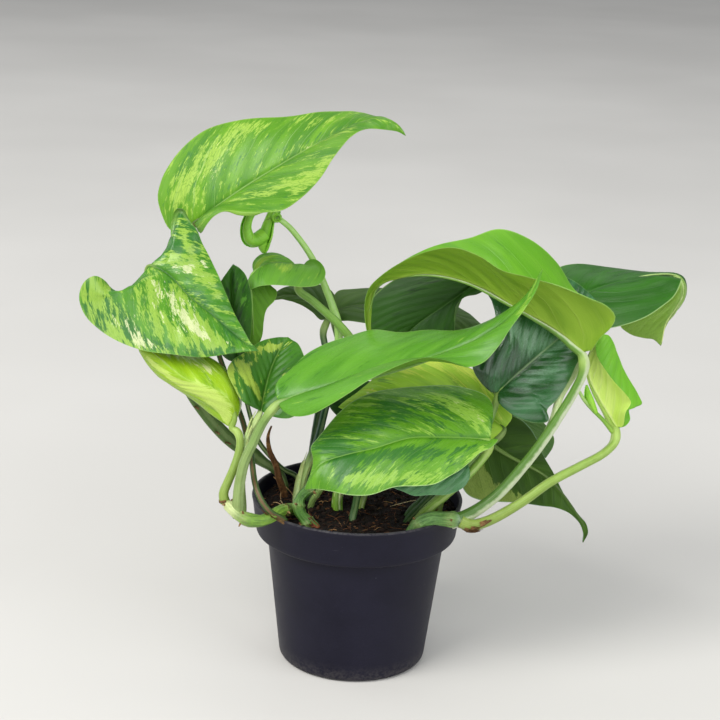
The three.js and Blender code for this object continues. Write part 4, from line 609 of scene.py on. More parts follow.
def hems(leaf, G, S, T, W):
    """Strips past a margin that roll over: (side, s from, s to, width, degrees, towards the upper side or not)."""
    out_l, out_r = [], []
    N = sheet_normals(G)
    for side, s0, s1, width, deg, up in leaf.get("hems", ()):
        c = 0 if side < 0 else G.shape[1] - 1
        i = 1 if side < 0 else G.shape[1] - 3
        win = smooth(s0, s0 + (s1 - s0) * 0.35, S) * (1 - smooth(s1 - (s1 - s0) * 0.35, s1, S))
        win = np.maximum(win * (1 + 0.16 * noise3(np.stack([S * 14, 0 * S, 0 * S + seed_of(leaf)], -1), 5)), 0.004)
        d = unit(G[:, c] - G[:, 2 if side < 0 else c - 2])
        n = N[:, i + (0 if side < 0 else 0)] * (1 if up else -1)
        n = unit(n - d * (n * d).sum(1, keepdims=True))
        k = 9
        p = G[:, c].copy()
        for q in range(1, k + 1):
            a = math.radians(deg) * (q - 0.5) / k
            p = p + (d * math.cos(a) + n * math.sin(a)) * (width * win / k)[:, None]
            (out_l if side < 0 else out_r).append((p.copy(), side * (1 + 0.02 * q)))
    if out_l:
        G = np.concatenate([np.stack([p for p, _ in out_l][::-1], 1), G], 1)
        T = np.concatenate([np.tile([t for _, t in out_l][::-1], (len(S), 1)), T], 1)
        W = np.concatenate([np.repeat(W[:, :1], len(out_l), 1), W], 1)
    if out_r:
        G = np.concatenate([G, np.stack([p for p, _ in out_r], 1)], 1)
        T = np.concatenate([T, np.tile([t for _, t in out_r], (len(S), 1))], 1)
        W = np.concatenate([W, np.repeat(W[:, -1:], len(out_r), 1)], 1)
    return G, T, W, len(out_l)


def strokes(leaf, S, T, L, W):
    """Where the blade tends to light, cream or dark: strokes from (s, t) to (s, t), with a width in mm."""
    P = np.zeros(S.shape + (4,))
    for kind, s0, t0, s1, t1, width, amount in leaf.get("paint", ()):
        a = np.array([s0 * L, t0 * W])
        d = np.array([s1 * L, t1 * W]) - a
        x, y = S * L - a[0], T * W - a[1]
        q = np.clip((x * d[0] + y * d[1]) / max(d @ d, 1e-9), 0, 1)
        r = np.hypot(x - q * d[0], y - q * d[1])
        P[..., "lcd".index(kind)] += amount * np.exp(-(r / width) ** 2)
    return P


def leaf_piece(name, leaf, mats, ns=88, nt=24):
    seed = leaf["seed"]
    G, s, T, W, L = blade_rows(leaf, ns, nt)
    S = np.repeat(s[:, None], T.shape[1], 1)
    A = np.abs(T)
    N = sheet_normals(G)
    # the blade's own unevenness: raised between side veins, a channel over the midrib, a loose margin
    veins = leaf.get("veins", 9)
    d = A * W
    sweep = leaf.get("sweep", 1.0)
    quilt = np.cos(2 * np.pi * ((S - sweep * d / L) * veins + 0.12 * fbm(np.stack([d / 9, S * L / 9, 0 * S + seed], -1), 2, seed)))
    inside = smooth(0.03, 0.2, A) * (1 - smooth(0.8, 1.0, A)) * smooth(0.01, 0.08, S) * (1 - smooth(0.85, 1, S))
    off = -leaf.get("quilt", 0.16) * quilt * inside
    off -= leaf.get("crease", 0.5) * np.exp(-(d / 1.2) ** 2) * (1 - smooth(0.8, 1, S))
    wave = leaf.get("wave", 0.9)
    side = np.where(T < 0, 0.0, 7.7)
    ripple = noise3(np.stack([S * 4.5 + side, 0 * S + seed * 1.7, 0 * S], -1), seed) + 0.45 * noise3(np.stack([S * 11 + side, 0 * S + seed * 2.3, 0 * S + 5], -1), seed)
    off += wave * ripple * A ** 2.5 * smooth(0.02, 0.15, S) * (1 - smooth(0.9, 1, S))
    off += leaf.get("bump", 0.5) * fbm(np.stack([d / 22 + side, S * L / 22, 0 * S + seed], -1), 2, seed + 3) * smooth(0.02, 0.3, A) * smooth(0.0, 0.12, S)
    G = G + N * off[..., None]
    G[0] = leaf["mid"][0]
    G[-1] = leaf["mid"][-1]
    G, T, W, extra = hems(leaf, G, s, T, W)
    S = np.repeat(s[:, None], T.shape[1], 1)
    A = np.abs(T)
    N = sheet_normals(G)
    mid = nt + extra
    cols = G.shape[1]
    lc = np.stack([A * W / 10, S * L / 10, np.where(T < 0, seed * 3.1, seed * 3.1 + 11.0)], -1)
    paint = strokes(leaf, S, T, L, float(W.max()))
    paint[..., 3] = L / 100
    uv = np.stack([0.5 + 0.5 * np.clip(T, -1.2, 1.2) / 1.2, S], -1)
    half = 0.30 * (1.25 - 0.75 * np.clip(A, 0, 1) ** 3) * leaf.get("thick", 1.0)
    rows = ns + 1
    B = Build()
    top = G + N * half[..., None]
    low = G - N * half[..., None]
    V, UV, LC, PA, idx = [], [], [], [], {}

    def corner(i, j, side):
        if i == 0:
            key = "base"
        elif i == rows - 1:
            key = "tip"
        elif j in (0, cols - 1):
            key = (i, j)
        else:
            key = (side, i, j)
        if key not in idx:
            idx[key] = len(V)
            V.append(G[i, j] if not isinstance(key, tuple) or len(key) == 2 else (top if side else low)[i, j])
            UV.append(uv[i, j])
            LC.append(lc[i, j])
            PA.append(paint[i, j])
        return idx[key]

    F, M = [], []
    for i in range(rows - 1):
        for j in range(cols - 1):
            for side in (1, 0):
                a, b, c, e = corner(i, j, side), corner(i, j + 1, side), corner(i + 1, j + 1, side), corner(i + 1, j, side)
                q = (a, b, c, e) if side else (a, e, c, b)
                q = tuple(dict.fromkeys(q))
                if len(q) >= 3:
                    F.append(q)
                    M.append(0 if side else 1)
    B.add(V, F, M, UV, LC, PA)
    # petiole, its joint under the blade, and the rib that it becomes
    r0, r1 = (r * leaf.get("fat", 1.1) for r in leaf["r"])
    foot = np.asarray(leaf["petiole"], float)
    rib_s = np.array([0.035, 0.07, 0.12, 0.2, 0.3, 0.45, 0.6, 0.75, 0.88])
    rib_r = np.interp(rib_s, [0, 0.06, 0.2, 0.5, 0.88], [r1 * 0.9, r1 * 0.78, r1 * 0.52, r1 * 0.32, 0.22]) * leaf.get("rib", 1.0)
    rib = []
    for q, r in zip(rib_s, rib_r):
        i = int(np.argmin(np.abs(s - q)))
        rib.append(G[i, mid] - N[i, mid] * (0.22 + 0.72 * r))
    body = dense(foot)
    Lp = length_of(body)
    path = np.vstack([foot[:-1], foot[-1:] - 0.5 * r1 * N[2, mid], rib])
    D = dense(path)
    Lt = length_of(D)
    first = Lp / Lt
    us = [0, first * 0.5, first]
    rs = [r0, (r0 + r1) / 2, r1]
    rr = first + (1 - first) * (rib_s - 0.0) / rib_s[-1]
    B_tube(B, D, list(zip(us + list(rr[1:]), rs + list(rib_r[1:]))), 2, sides=20, step=1.3, seed=seed, swell=(first * Lt, leaf.get("swell", 0.16)), flare=leaf.get("flare", 0.12), up=leaf.get("groove"), flat=leaf.get("flat"))
    ob = B.make(name, mats, replaces=leaf["node"] if isinstance(leaf["node"], tuple) else (leaf["node"],), sharp=100)
    return ob


def frames(p, t, up=None):
    """A frame that turns with the path, its first axis near up where given."""
    n = np.zeros_like(p)
    ref = np.array(up if up is not None else (0.1, 0.35, 1.0), float)
    if abs(unit(ref) @ t[0]) > 0.9:
        ref = np.array([0.2, -1.0, 0.1])
    n[0] = unit(ref - t[0] * (ref @ t[0]))
    for i in range(1, len(p)):
        v = n[i - 1] - t[i] * (n[i - 1] @ t[i])
        n[i] = unit(v)
    return n, np.cross(t, n)


def shell(B, P, out, th, mat, uv=None, lc=None):
    """A thin sheet with two faces and closed edges, from a grid of points and the direction out of it at each."""
    a, b = P.shape[:2]
    m = a * b
    V = np.vstack([(P + out * th / 2).reshape(-1, 3), (P - out * th / 2).reshape(-1, 3)])
    F = []
    for i in range(a - 1):
        for j in range(b - 1):
            q, r, s, t = i * b + j, i * b + j + 1, (i + 1) * b + j + 1, (i + 1) * b + j
            F += [(q, t, s, r), (m + q, m + r, m + s, m + t)]
    for i in range(a - 1):
        q, t = i * b, (i + 1) * b
        F.append((q, m + q, m + t, t))
        q, t = i * b + b - 1, (i + 1) * b + b - 1
        F.append((q, t, m + t, m + q))
    for j in range(b - 1):
        F.append((j, j + 1, m + j + 1, m + j))
        q = (a - 1) * b + j
        F.append((q, m + q, m + q + 1, q + 1))
    Q = V[np.array(F)] - V.mean(axis=0)
    inside = (np.cross(Q[:, 0], Q[:, 1]) * Q[:, 2] + np.cross(Q[:, 0], Q[:, 2]) * Q[:, 3]).sum()
    if inside < 0:                      # the faces look outwards, whichever way round the grid runs
        F = [f[::-1] for f in F]
    uv = None if uv is None else np.vstack([uv.reshape(-1, 2)] * 2)
    lc = None if lc is None else np.vstack([lc.reshape(-1, 3)] * 2)
    B.add(V, F, mat, uv, lc)


def sheath(B, D, r, a0, a1, facing, spread, mat=0, flare=0.5, lift=0.2, rag=0.35, seed=0, th=0.18):
    """The remnant of a leaf's sheath round part of a stalk: open on one side, torn at its far end, loose there."""
    L = length_of(D)
    k, w = max(12, int(abs(a1 - a0) * L / 0.45)), 30
    A = np.linspace(-spread / 2, spread / 2, w) * math.pi / 180
    tear = 1 - rag * (0.5 + 0.5 * noise3(np.stack([A * 3.1 + seed, 0 * A, 0 * A], -1), seed)) - rag * 0.6 * np.abs(noise3(np.stack([A * 9 + seed, 0 * A, 0 * A], -1), seed + 1))
    q = np.linspace(0, 1, k + 1)
    Q, AA = np.meshgrid(q, A, indexing="ij")
    U = a0 + (a1 - a0) * Q * tear[None, :]
    p = along(D, U.ravel()).reshape(U.shape + (3,))
    t = unit((along(D, np.minimum(U + 0.01, 1).ravel()) - along(D, np.maximum(U - 0.01, 0).ravel())).reshape(p.shape))
    f = np.array(facing, float)
    n = unit(f - t * (t @ f)[..., None])
    b = np.cross(t, n)
    out = np.cos(AA)[..., None] * n + np.sin(AA)[..., None] * b
    crinkle = 0.25 * fbm(np.stack([AA * 2.2, Q * 4, 0 * Q + seed], -1), 3, seed)
    rad = r + lift + flare * Q ** 2.5 + crinkle * (0.4 + Q) + 0.35 * flare * (np.abs(AA) / (spread * math.pi / 360)) ** 3
    P = p + out * rad[..., None]
    shell(B, P, out, th, mat, np.stack([0.5 + AA / 7, Q], -1), np.stack([AA / 4, Q * abs(a1 - a0) * L / 10, 0 * Q + seed], -1))


def B_tube(B, D, radii, mat, sides=20, step=1.3, seed=0, swell=None, flare=0.0, up=None, flat=None, groove=0.2, ribs=0.0, rings=(), rough=0.0, ends=True):
    """A stalk along a path. radii is a list of (fraction, radius); swell=(distance, share) is the joint below a blade;
    rings is a list of (fraction, height, width) raised round it; ribs and rough make it uneven."""
    L = length_of(D)
    k = max(10, int(L / step))
    u = np.linspace(0, 1, k + 1)
    p = along(D, u)
    for _ in range(3):
        p[1:-1] = (p[:-2] + 2 * p[1:-1] + p[2:]) / 4
    t = unit(np.gradient(p, axis=0))
    for _ in range(3):
        t[1:-1] = unit(t[:-2] + 2 * t[1:-1] + t[2:])
    n, b = frames(p, t, up)
    r = np.interp(u, [a for a, _ in radii], [c for _, c in radii])
    for _ in range(3):
        r[1:-1] = (r[:-2] + 2 * r[1:-1] + r[2:]) / 4
    dist = u * L
    if swell:
        r = r * (1 + swell[1] * np.exp(-((dist - swell[0] + 6) / 4.0) ** 2))
    r = r * (1 + flare * np.exp(-dist / 7.0))
    for a, h, w in rings:
        r = r + h * np.exp(-((dist - a * L) / w) ** 2)
    ang = np.linspace(-np.pi, np.pi, sides, endpoint=False)
    shape = 1 - groove * np.exp(-(ang / 0.42) ** 2) + groove * 0.4 * np.exp(-((np.abs(ang) - 0.8) / 0.3) ** 2) + ribs * np.cos(9 * ang)
    R = r[:, None] * shape[None, :]
    P3 = np.stack(np.broadcast_arrays(np.cos(ang)[None, :] * 1.3, np.sin(ang)[None, :] * 1.3, dist[:, None] / 6), -1)
    R = R * (1 + (0.025 + rough) * fbm(P3 + seed, 3, seed))
    fx = fy = 1.0
    if flat is not None:
        f0, f1, u0, u1 = flat
        k1 = smooth(u0, u0 + 0.06, u) * (1 - smooth(u1 - 0.1, u1, u))
        fx = (1 + (f0 - 1) * k1)[:, None, None]
        fy = (1 + (f1 - 1) * k1)[:, None, None]
    V = p[:, None] + R[..., None] * (np.cos(ang)[None, :, None] * n[:, None] * fx + np.sin(ang)[None, :, None] * b[:, None] * fy)
    V = V.reshape(-1, 3)
    U, G2 = np.meshgrid(u, ang, indexing="ij")
    uv = np.stack([0.5 + G2 / (2 * np.pi), U], -1).reshape(-1, 2)
    lc = np.stack([np.cos(G2) * 0.25, np.sin(G2) * 0.25, np.broadcast_to(dist[:, None] / 10 + seed, G2.shape)], -1).reshape(-1, 3)
    pa = np.zeros((len(V), 4))
    pa[:, 0] = np.repeat(np.clip(dist / 100, 0, 10), sides)
    if swell:
        pa[:, 1] = np.repeat(np.exp(-((dist - swell[0] + 5) / 5.0) ** 2), sides)
    for a, h, w in rings:
        pa[:, 2] = np.maximum(pa[:, 2], np.repeat(np.exp(-((dist - a * L) / (w * 1.6)) ** 2), sides))
    pa[:, 3] = L / 100
    F = []
    for i in range(k):
        for j in range(sides):
            a0 = i * sides + j
            a1 = i * sides + (j + 1) % sides
            F.append((a0, a1, a1 + sides, a0 + sides))
    F.append(tuple(range(sides))[::-1])
    F.append(tuple(k * sides + j for j in range(sides)))
    B.add(V, F, mat, uv, lc, pa)
    return p, t, n, b, r


# ------------------------------------------------------------------ materials
def C(r, g, b):
    """An sRGB colour, 0 to 255, as linear."""
    return tuple((c / 255 / 12.92 if c <= 10.3 else ((c / 255 + 0.055) / 1.055) ** 2.4) for c in (r, g, b)) + (1.0,)


class Mat:
    """A small writer for node materials."""

    def __init__(self, name):
        self.m = bpy.data.materials.new(name)
        self.m.use_nodes = True
        self.t = self.m.node_tree
        self.t.nodes.clear()
        self.out = self.t.nodes.new("ShaderNodeOutputMaterial")

    def put(self, socket, x):
        if isinstance(x, bpy.types.NodeSocket):
            self.t.links.new(x, socket)
        else:
            socket.default_value = x

    def node(self, kind, **props):
        n = self.t.nodes.new(kind)
        for k, v in props.items():
            setattr(n, k, v)
        return n

    def math(self, op, a, b=0.0, clamp=False):
        n = self.node("ShaderNodeMath", operation=op, use_clamp=clamp)
        self.put(n.inputs[0], a)
        self.put(n.inputs[1], b)
        return n.outputs[0]

    def add(self, a, b): return self.math("ADD", a, b)
    def sub(self, a, b): return self.math("SUBTRACT", a, b)
    def mul(self, a, b): return self.math("MULTIPLY", a, b)

    def ramp(self, x, lo, hi, a=0.0, b=1.0):
        n = self.node("ShaderNodeMapRange", interpolation_type="SMOOTHSTEP")
        self.put(n.inputs["Value"], x)
        n.inputs["From Min"].default_value = lo
        n.inputs["From Max"].default_value = hi
        n.inputs["To Min"].default_value = a
        n.inputs["To Max"].default_value = b
        return n.outputs["Result"]

    def mix(self, f, a, b, mode="MIX"):
        n = self.node("ShaderNodeMix", data_type="RGBA", blend_type=mode, clamp_factor=True)
        self.put(n.inputs[0], f)
        self.put(n.inputs[6], a)
        self.put(n.inputs[7], b)
        return n.outputs[2]

    def vec(self, x, y, z):
        n = self.node("ShaderNodeCombineXYZ")
        for i, v in enumerate((x, y, z)):
            self.put(n.inputs[i], v)
        return n.outputs[0]

    def xyz(self, v):
        n = self.node("ShaderNodeSeparateXYZ")
        self.put(n.inputs[0], v)
        return n.outputs[0], n.outputs[1], n.outputs[2]

    def noise(self, v, scale, detail=2.0, rough=0.5, dist=0.0):
        n = self.node("ShaderNodeTexNoise")
        self.put(n.inputs["Vector"], v)
        n.inputs["Scale"].default_value = scale
        n.inputs["Detail"].default_value = detail
        n.inputs["Roughness"].default_value = rough
        n.inputs["Distortion"].default_value = dist
        return n.outputs["Fac"]

    def voronoi(self, v, scale, feature="F1", rand=1.0):
        n = self.node("ShaderNodeTexVoronoi", feature=feature)
        self.put(n.inputs["Vector"], v)
        n.inputs["Scale"].default_value = scale
        n.inputs["Randomness"].default_value = rand
        return n.outputs["Distance"]

    def attr(self, name):
        return self.node("ShaderNodeAttribute", attribute_name=name)

    def uv(self):
        x, y, _ = self.xyz(self.node("ShaderNodeUVMap", uv_map="UVMap").outputs[0])
        return x, y

    def bump(self, height, strength, distance):
        n = self.node("ShaderNodeBump")
        n.inputs["Strength"].default_value = strength
        n.inputs["Distance"].default_value = distance
        self.put(n.inputs["Height"], height)
        return n.outputs[0]

    def surface(self, colour, rough, normal=None, spec=0.5, coat=0.0, coat_rough=0.2, sheen=0.0, through=0.0, through_colour=None, ior=1.45):
        p = self.node("ShaderNodeBsdfPrincipled")
        self.put(p.inputs["Base Color"], colour)
        self.put(p.inputs["Roughness"], rough)
        p.inputs["IOR"].default_value = ior
        p.inputs["Specular IOR Level"].default_value = spec
        p.inputs["Coat Weight"].default_value = coat
        p.inputs["Coat Roughness"].default_value = coat_rough
        p.inputs["Sheen Weight"].default_value = sheen
        if normal is not None:
            self.put(p.inputs["Normal"], normal)
        last = p.outputs[0]
        if through > 0:
            q = self.node("ShaderNodeBsdfTranslucent")
            self.put(q.inputs["Color"], through_colour if through_colour is not None else colour)
            if normal is not None:
                self.put(q.inputs["Normal"], normal)
            x = self.node("ShaderNodeMixShader")
            x.inputs[0].default_value = through
            self.t.links.new(last, x.inputs[1])
            self.t.links.new(q.outputs[0], x.inputs[2])
            last = x.outputs[0]
        self.t.links.new(last, self.out.inputs[0])
        return self.m


def leaf_material(name, k, under=False):
    """A waxy blade: ground colour, marbling along the side veins, veins, midrib and margin."""
    m = Mat(name)
    x, y, z = m.xyz(m.attr("lc").outputs["Vector"])
    u, s = m.uv()
    t = m.math("ABSOLUTE", m.mul(m.sub(u, 0.5), 2.4))
    paint = m.attr("paint")
    pr, pg, pb = m.xyz(paint.outputs["Vector"])
    if under:
        pr, pg, pb = (m.mul(q, k.get("upaint", 0.5)) for q in (pr, pg, pb))
    y0 = y
    sh = k.get("sweep", 1.0)
    # the side veins leave the midrib at a slant and bend towards the tip
    y = m.sub(y, m.mul(sh, x))
    ax, ay = k.get("grain", (0.55, 2.3))
    v1 = m.vec(m.mul(x, ax), m.mul(y, ay), z)
    flow = m.noise(m.vec(m.mul(x, 0.5), m.mul(y, 0.8), z), 0.9, 2.0)
    big = m.noise(v1, 0.85, 3.0, 0.55, 0.25)
    fine = m.noise(v1, 3.4, 4.0, 0.6, 0.2)
    speck = m.noise(m.vec(x, y, z), 13.0, 2.0, 0.6)
    grain = m.add(m.add(m.mul(big, 0.50), m.mul(fine, 0.36)), m.mul(speck, 0.14))
    v2 = m.vec(m.mul(x, ax * 1.1), m.mul(y, ay * 0.9), m.add(z, 31.0))
    grain2 = m.add(m.mul(m.noise(v2, 1.3, 3.0, 0.6, 0.3), 0.55), m.add(m.mul(m.noise(v2, 5.0, 3.0, 0.6), 0.31), m.mul(speck, 0.14)))
    v3 = m.vec(m.mul(x, ax * 0.9), m.mul(y, ay * 0.75), m.add(z, 57.0))
    cells = m.voronoi(m.vec(m.mul(x, 0.8), m.mul(y, 1.2), z), k.get("cells", 7.5), "DISTANCE_TO_EDGE")
    net = m.ramp(cells, 0.11, 0.0)
    grain3 = m.add(m.mul(m.noise(v3, 1.0, 3.0, 0.6, 0.3), 0.6), m.mul(m.noise(v3, 4.2, 3.0, 0.6), 0.4))
    e = k.get("edge", 0.018)
    light = m.ramp(m.add(grain, pr), 0.62 - k.get("light", 0.0) - e, 0.62 - k.get("light", 0.0) + e)
    cream = m.ramp(m.add(grain2, pg), 0.66 - k.get("cream", 0.0) - e, 0.66 - k.get("cream", 0.0) + e)
    dark = m.ramp(m.add(grain3, pb), 0.62 - k.get("dark", 0.0) - e * 1.6, 0.62 - k.get("dark", 0.0) + e * 1.6)
    stria = m.noise(m.vec(m.mul(x, 0.35), m.mul(y, 9.0), z), 2.2, 3.0, 0.6)
    g = k.get("ugain" if under else "gain", (1, 1, 1))
    c0, c1, cl, cc, cd, cm = ([min(250, v * w) for v, w in zip(k[i], g)] for i in (("u0", "u1", "ul", "uc", "ud", "um") if under else ("c0", "c1", "cl", "cc", "cd", "cm")))
    col = m.mix(m.ramp(flow, 0.3, 0.7), C(*c0), C(*c1))
    soften = 0.55 if under else 1.0
    col = m.mix(m.mul(dark, 0.9 * soften), col, C(*cd))
    col = m.mix(m.mul(light, 0.93 * soften), col, C(*cl))
    col = m.mix(m.mul(cream, 0.95 * soften), col, C(*cc))
    # the fine net of veins, clearest in the pale parts
    net = m.mul(net, m.math("MAXIMUM", m.mul(m.math("MAXIMUM", light, cream), k.get("net", 0.42)), 0.07))
    col = m.mix(net, col, m.mix(0.65, col, C(*c0)))
    # thin darker and paler lines between the side veins
    col = m.mix(m.mul(m.ramp(stria, 0.42, 0.72), k.get("stria", 0.22)), col, m.mix(1.0, col, C(150, 190, 150), "MULTIPLY"))
    col = m.mix(m.mul(m.ramp(stria, 0.38, 0.15), k.get("stria", 0.22)), col, m.mix(0.35, col, C(235, 245, 190), "SCREEN"))
    nv = float(k.get("veins", 9))
    wob = m.noise(m.vec(m.mul(x, 0.7), m.mul(y, 0.7), z), 1.1, 1.0)
    slant = m.math("DIVIDE", y, m.mul(paint.outputs["Alpha"], 10.0))
    line = m.math("ABSOLUTE", m.sub(m.math("FRACT", m.add(m.add(m.mul(slant, nv), 10.5), m.mul(m.sub(wob, 0.5), 0.5))), 0.5))
    vein = m.ramp(line, k.get("veinw", 0.045) if not under else 0.07, 0.0)
    vein = m.mul(vein, m.mul(m.ramp(t, 0.98, 0.55), m.ramp(s, 0.0, 0.06)))
    col = m.mix(m.mul(vein, k.get("vein", 0.16) * (2.2 if under else 1.0)), col, C(*cm))
    # painted shade: the blade is darkened on either side of the midrib, where shade falls in its channel, less so near
    # the tip
    crease = m.mul(m.ramp(x, 0.30, 0.06), m.ramp(s, 1.0, 0.7, 0.3, 1.0))
    if not under:
        col = m.mix(m.mul(crease, k.get("crease", 0.35)), col, m.mix(1.0, col, C(150, 190, 130), "MULTIPLY"))
    rib = m.ramp(x, k.get("rib", 0.085) * (1.5 if under else 1.0), 0.02)
    rib = m.mul(rib, m.ramp(s, 1.0, 0.7, 0.35, 1.0))
    col = m.mix(m.mul(rib, k.get("ribmix", 0.6)), col, C(*cm))
    rim = m.ramp(t, 0.975, 1.0)
    col = m.mix(m.mul(rim, k.get("rimmix", 0.5)), col, C(*k.get("rimc", (170, 205, 110))))
    # marks of age
    spots = m.ramp(m.noise(m.vec(x, y, m.add(z, 80.0)), 2.6, 2.0, 0.5), 0.79, 0.82)
    col = m.mix(m.mul(spots, k.get("spots", 0.25)), col, C(70, 62, 30))
    height = m.add(m.add(m.mul(stria, 0.7), m.mul(speck, 0.35)), m.mul(vein, 0.8 if under else -0.8))
    rough = m.ramp(m.add(m.mul(big, 0.4), m.mul(speck, 0.6)), 0.25, 0.75, k["rough"] - 0.05 + (0.12 if under else 0), k["rough"] + 0.09 + (0.12 if under else 0))
    n = m.bump(height, k.get("relief", 0.35) if not under else 0.5, 0.0005)
    return m.surface(col, rough, n, spec=0.26 if under else k.get("spec", 0.38), coat=0.0 if under else k.get("coat", 0.0), coat_rough=0.25, through=k.get("through", 0.24), through_colour=m.mix(0.5, col, C(150, 215, 40)))


def stalk_material(name, k):
    """A petiole: colour changes from the foot to the blade, a paler channel, fine ribs, a swollen pale joint."""
    m = Mat(name)
    u, v = m.uv()
    x, y, z = m.xyz(m.attr("lc").outputs["Vector"])
    pr, joint, node = m.xyz(m.attr("paint").outputs["Vector"])
    ang = m.math("ABSOLUTE", m.sub(u, 0.5))
    lines = m.noise(m.vec(m.mul(x, 6.0), m.mul(y, 6.0), m.mul(z, 0.18)), 4.0, 3.0, 0.6)
    mott = m.noise(m.vec(x, y, m.mul(z, 0.9)), 3.0, 3.0, 0.6)
    q0, q1, q2, q3 = k.get("pstops", (0.0, 0.45, 0.45, 0.9))
    col = m.mix(m.ramp(v, q0, q1), C(*k["p0"]), C(*k["p1"]))
    col = m.mix(m.ramp(v, q2, q3), col, C(*k["p2"]))
    col = m.mix(m.mul(m.ramp(lines, 0.4, 0.7), 0.35), col, m.mix(1.0, col, C(150, 185, 140), "MULTIPLY"))
    col = m.mix(m.mul(m.ramp(lines, 0.42, 0.2), 0.30), col, m.mix(0.5, col, C(235, 240, 200), "SCREEN"))
    col = m.mix(m.mul(m.ramp(mott, 0.35, 0.75), 0.25), col, m.mix(1.0, col, C(205, 200, 140), "MULTIPLY"))
    edge = m.mul(m.sub(mott, 0.5), 0.10)
    col = m.mix(m.mul(m.ramp(m.add(ang, edge), k.get("pw", 0.09), k.get("pw", 0.09) * 0.35), k.get("channel", 0.4)), col, C(*k.get("pc", (205, 225, 160))))
    col = m.mix(m.mul(joint, 0.45), col, C(*k.get("pj", (180, 205, 110))))
    spots = m.ramp(m.noise(m.vec(x, y, z), 7.0, 2.0, 0.5), 0.72, 0.77)
    col = m.mix(m.mul(spots, k.get("pspots", 0.35)), col, C(120, 92, 52))
    n = m.bump(m.add(lines, m.mul(mott, 0.4)), 0.45, 0.0006)
    return m.surface(col, m.ramp(mott, 0.3, 0.7, 0.36, 0.5), n, spec=0.45, coat=0.06, coat_rough=0.3)


def stem_material(name, k):
    """A vine: ribbed green with brown rings and specks at the nodes."""
    m = Mat(name)
    u, v = m.uv()
    x, y, z = m.xyz(m.attr("lc").outputs["Vector"])
    pr, joint, node = m.xyz(m.attr("paint").outputs["Vector"])
    lines = m.noise(m.vec(m.mul(x, 5.0), m.mul(y, 5.0), m.mul(z, 0.3)), 4.0, 3.0, 0.6)
    mott = m.noise(m.vec(m.mul(x, 1.5), m.mul(y, 1.5), z), 3.5, 4.0, 0.65)
    col = m.mix(m.ramp(mott, 0.3, 0.7), C(*k["a"]), C(*k["b"]))
    col = m.mix(m.mul(m.ramp(lines, 0.45, 0.65), 0.5), col, C(*k["c"]))
    if "pale" in k:
        lo, hi, c = k["pale"]
        col = m.mix(m.mul(m.mul(m.ramp(v, lo, lo + 0.14), m.ramp(v, hi + 0.08, hi)), m.ramp(mott, 0.25, 0.6, 0.6, 0.9)), col, C(*c))
    col = m.mix(m.mul(m.mul(node, m.ramp(lines, 0.3, 0.7)), 0.35), col, C(*k.get("scar", (190, 196, 130))))
    bark = m.ramp(m.add(m.add(m.mul(mott, 0.6), m.mul(lines, 0.4)), m.mul(node, k.get("ring", 0.07))), 0.64, 0.74)
    col = m.mix(m.mul(bark, k.get("bark", 0.5)), col, C(*k.get("brown", (125, 96, 58))))
    fine = m.noise(m.vec(x, y, z), 24.0, 2.0, 0.6)
    col = m.mix(m.mul(m.ramp(fine, 0.64, 0.74), 0.3), col, C(70, 50, 28))
    n = m.bump(m.add(m.add(m.mul(lines, 1.1), mott), m.mul(bark, 0.6)), 0.8, 0.0010)
    return m.surface(col, m.ramp(m.add(mott, bark), 0.3, 1.2, 0.34, 0.7), n, spec=0.45, coat=0.1, coat_rough=0.2)


def papery_material(name, a, b, c, soft=0.25):
    """A thin fibrous remnant: streaked along, darker at its torn end."""
    m = Mat(name)
    u, v = m.uv()
    x, y, z = m.xyz(m.attr("lc").outputs["Vector"])
    fibre = m.noise(m.vec(m.mul(x, 9.0), m.mul(y, 0.8), z), 4.0, 4.0, 0.65)
    blot = m.noise(m.vec(m.mul(x, 2.0), m.mul(y, 2.0), z), 3.0, 3.0, 0.6)
    col = m.mix(m.ramp(fibre, 0.35, 0.65), C(*a), C(*b))
    col = m.mix(m.mul(m.ramp(m.add(blot, m.mul(v, 0.35)), 0.55, 0.85), 0.85), col, C(*c))
    return m.surface(col, m.ramp(blot, 0.3, 0.7, 0.5, 0.75), m.bump(m.add(fibre, m.mul(blot, 0.5)), 0.8, 0.0006), spec=0.3, through=soft)


def dry_material(name, a, b, c):
    m = Mat(name)
    p = m.node("ShaderNodeTexCoord").outputs["Object"]
    x, y, z = m.xyz(p)
    g = m.noise(m.vec(m.mul(x, 900.0), m.mul(y, 900.0), m.mul(z, 160.0)), 1.0, 4.0, 0.65)
    h = m.noise(p, 260.0, 3.0, 0.6)
    col = m.mix(m.ramp(g, 0.3, 0.7), C(*a), C(*b))
    col = m.mix(m.ramp(h, 0.5, 0.75), col, C(*c))
    return m.surface(col, m.ramp(h, 0.3, 0.7, 0.62, 0.85), m.bump(m.add(g, h), 0.8, 0.0006), spec=0.3)


def soil_material(name):
    m = Mat(name)
    p = m.node("ShaderNodeTexCoord").outputs["Object"]
    a = m.noise(p, 150.0, 5.0, 0.7)
    b = m.noise(p, 700.0, 4.0, 0.7)
    c = m.noise(p, 60.0, 3.0, 0.6)
    v = m.voronoi(p, 420.0)
    col = m.mix(m.ramp(a, 0.35, 0.7), C(10, 7, 5), C(30, 19, 13))
    col = m.mix(m.mul(m.ramp(b, 0.55, 0.75), 0.8), col, C(58, 36, 23))
    col = m.mix(m.mul(m.ramp(b, 0.35, 0.2), 0.7), col, C(10, 7, 6))
    col = m.mix(m.mul(m.ramp(c, 0.45, 0.7), 0.5), col, C(18, 12, 9))
    h = m.add(m.add(a, m.mul(b, 0.6)), m.mul(v, 0.5))
    return m.surface(col, m.ramp(b, 0.3, 0.7, 0.75, 0.95), m.bump(h, 1.0, 0.0016), spec=0.25)


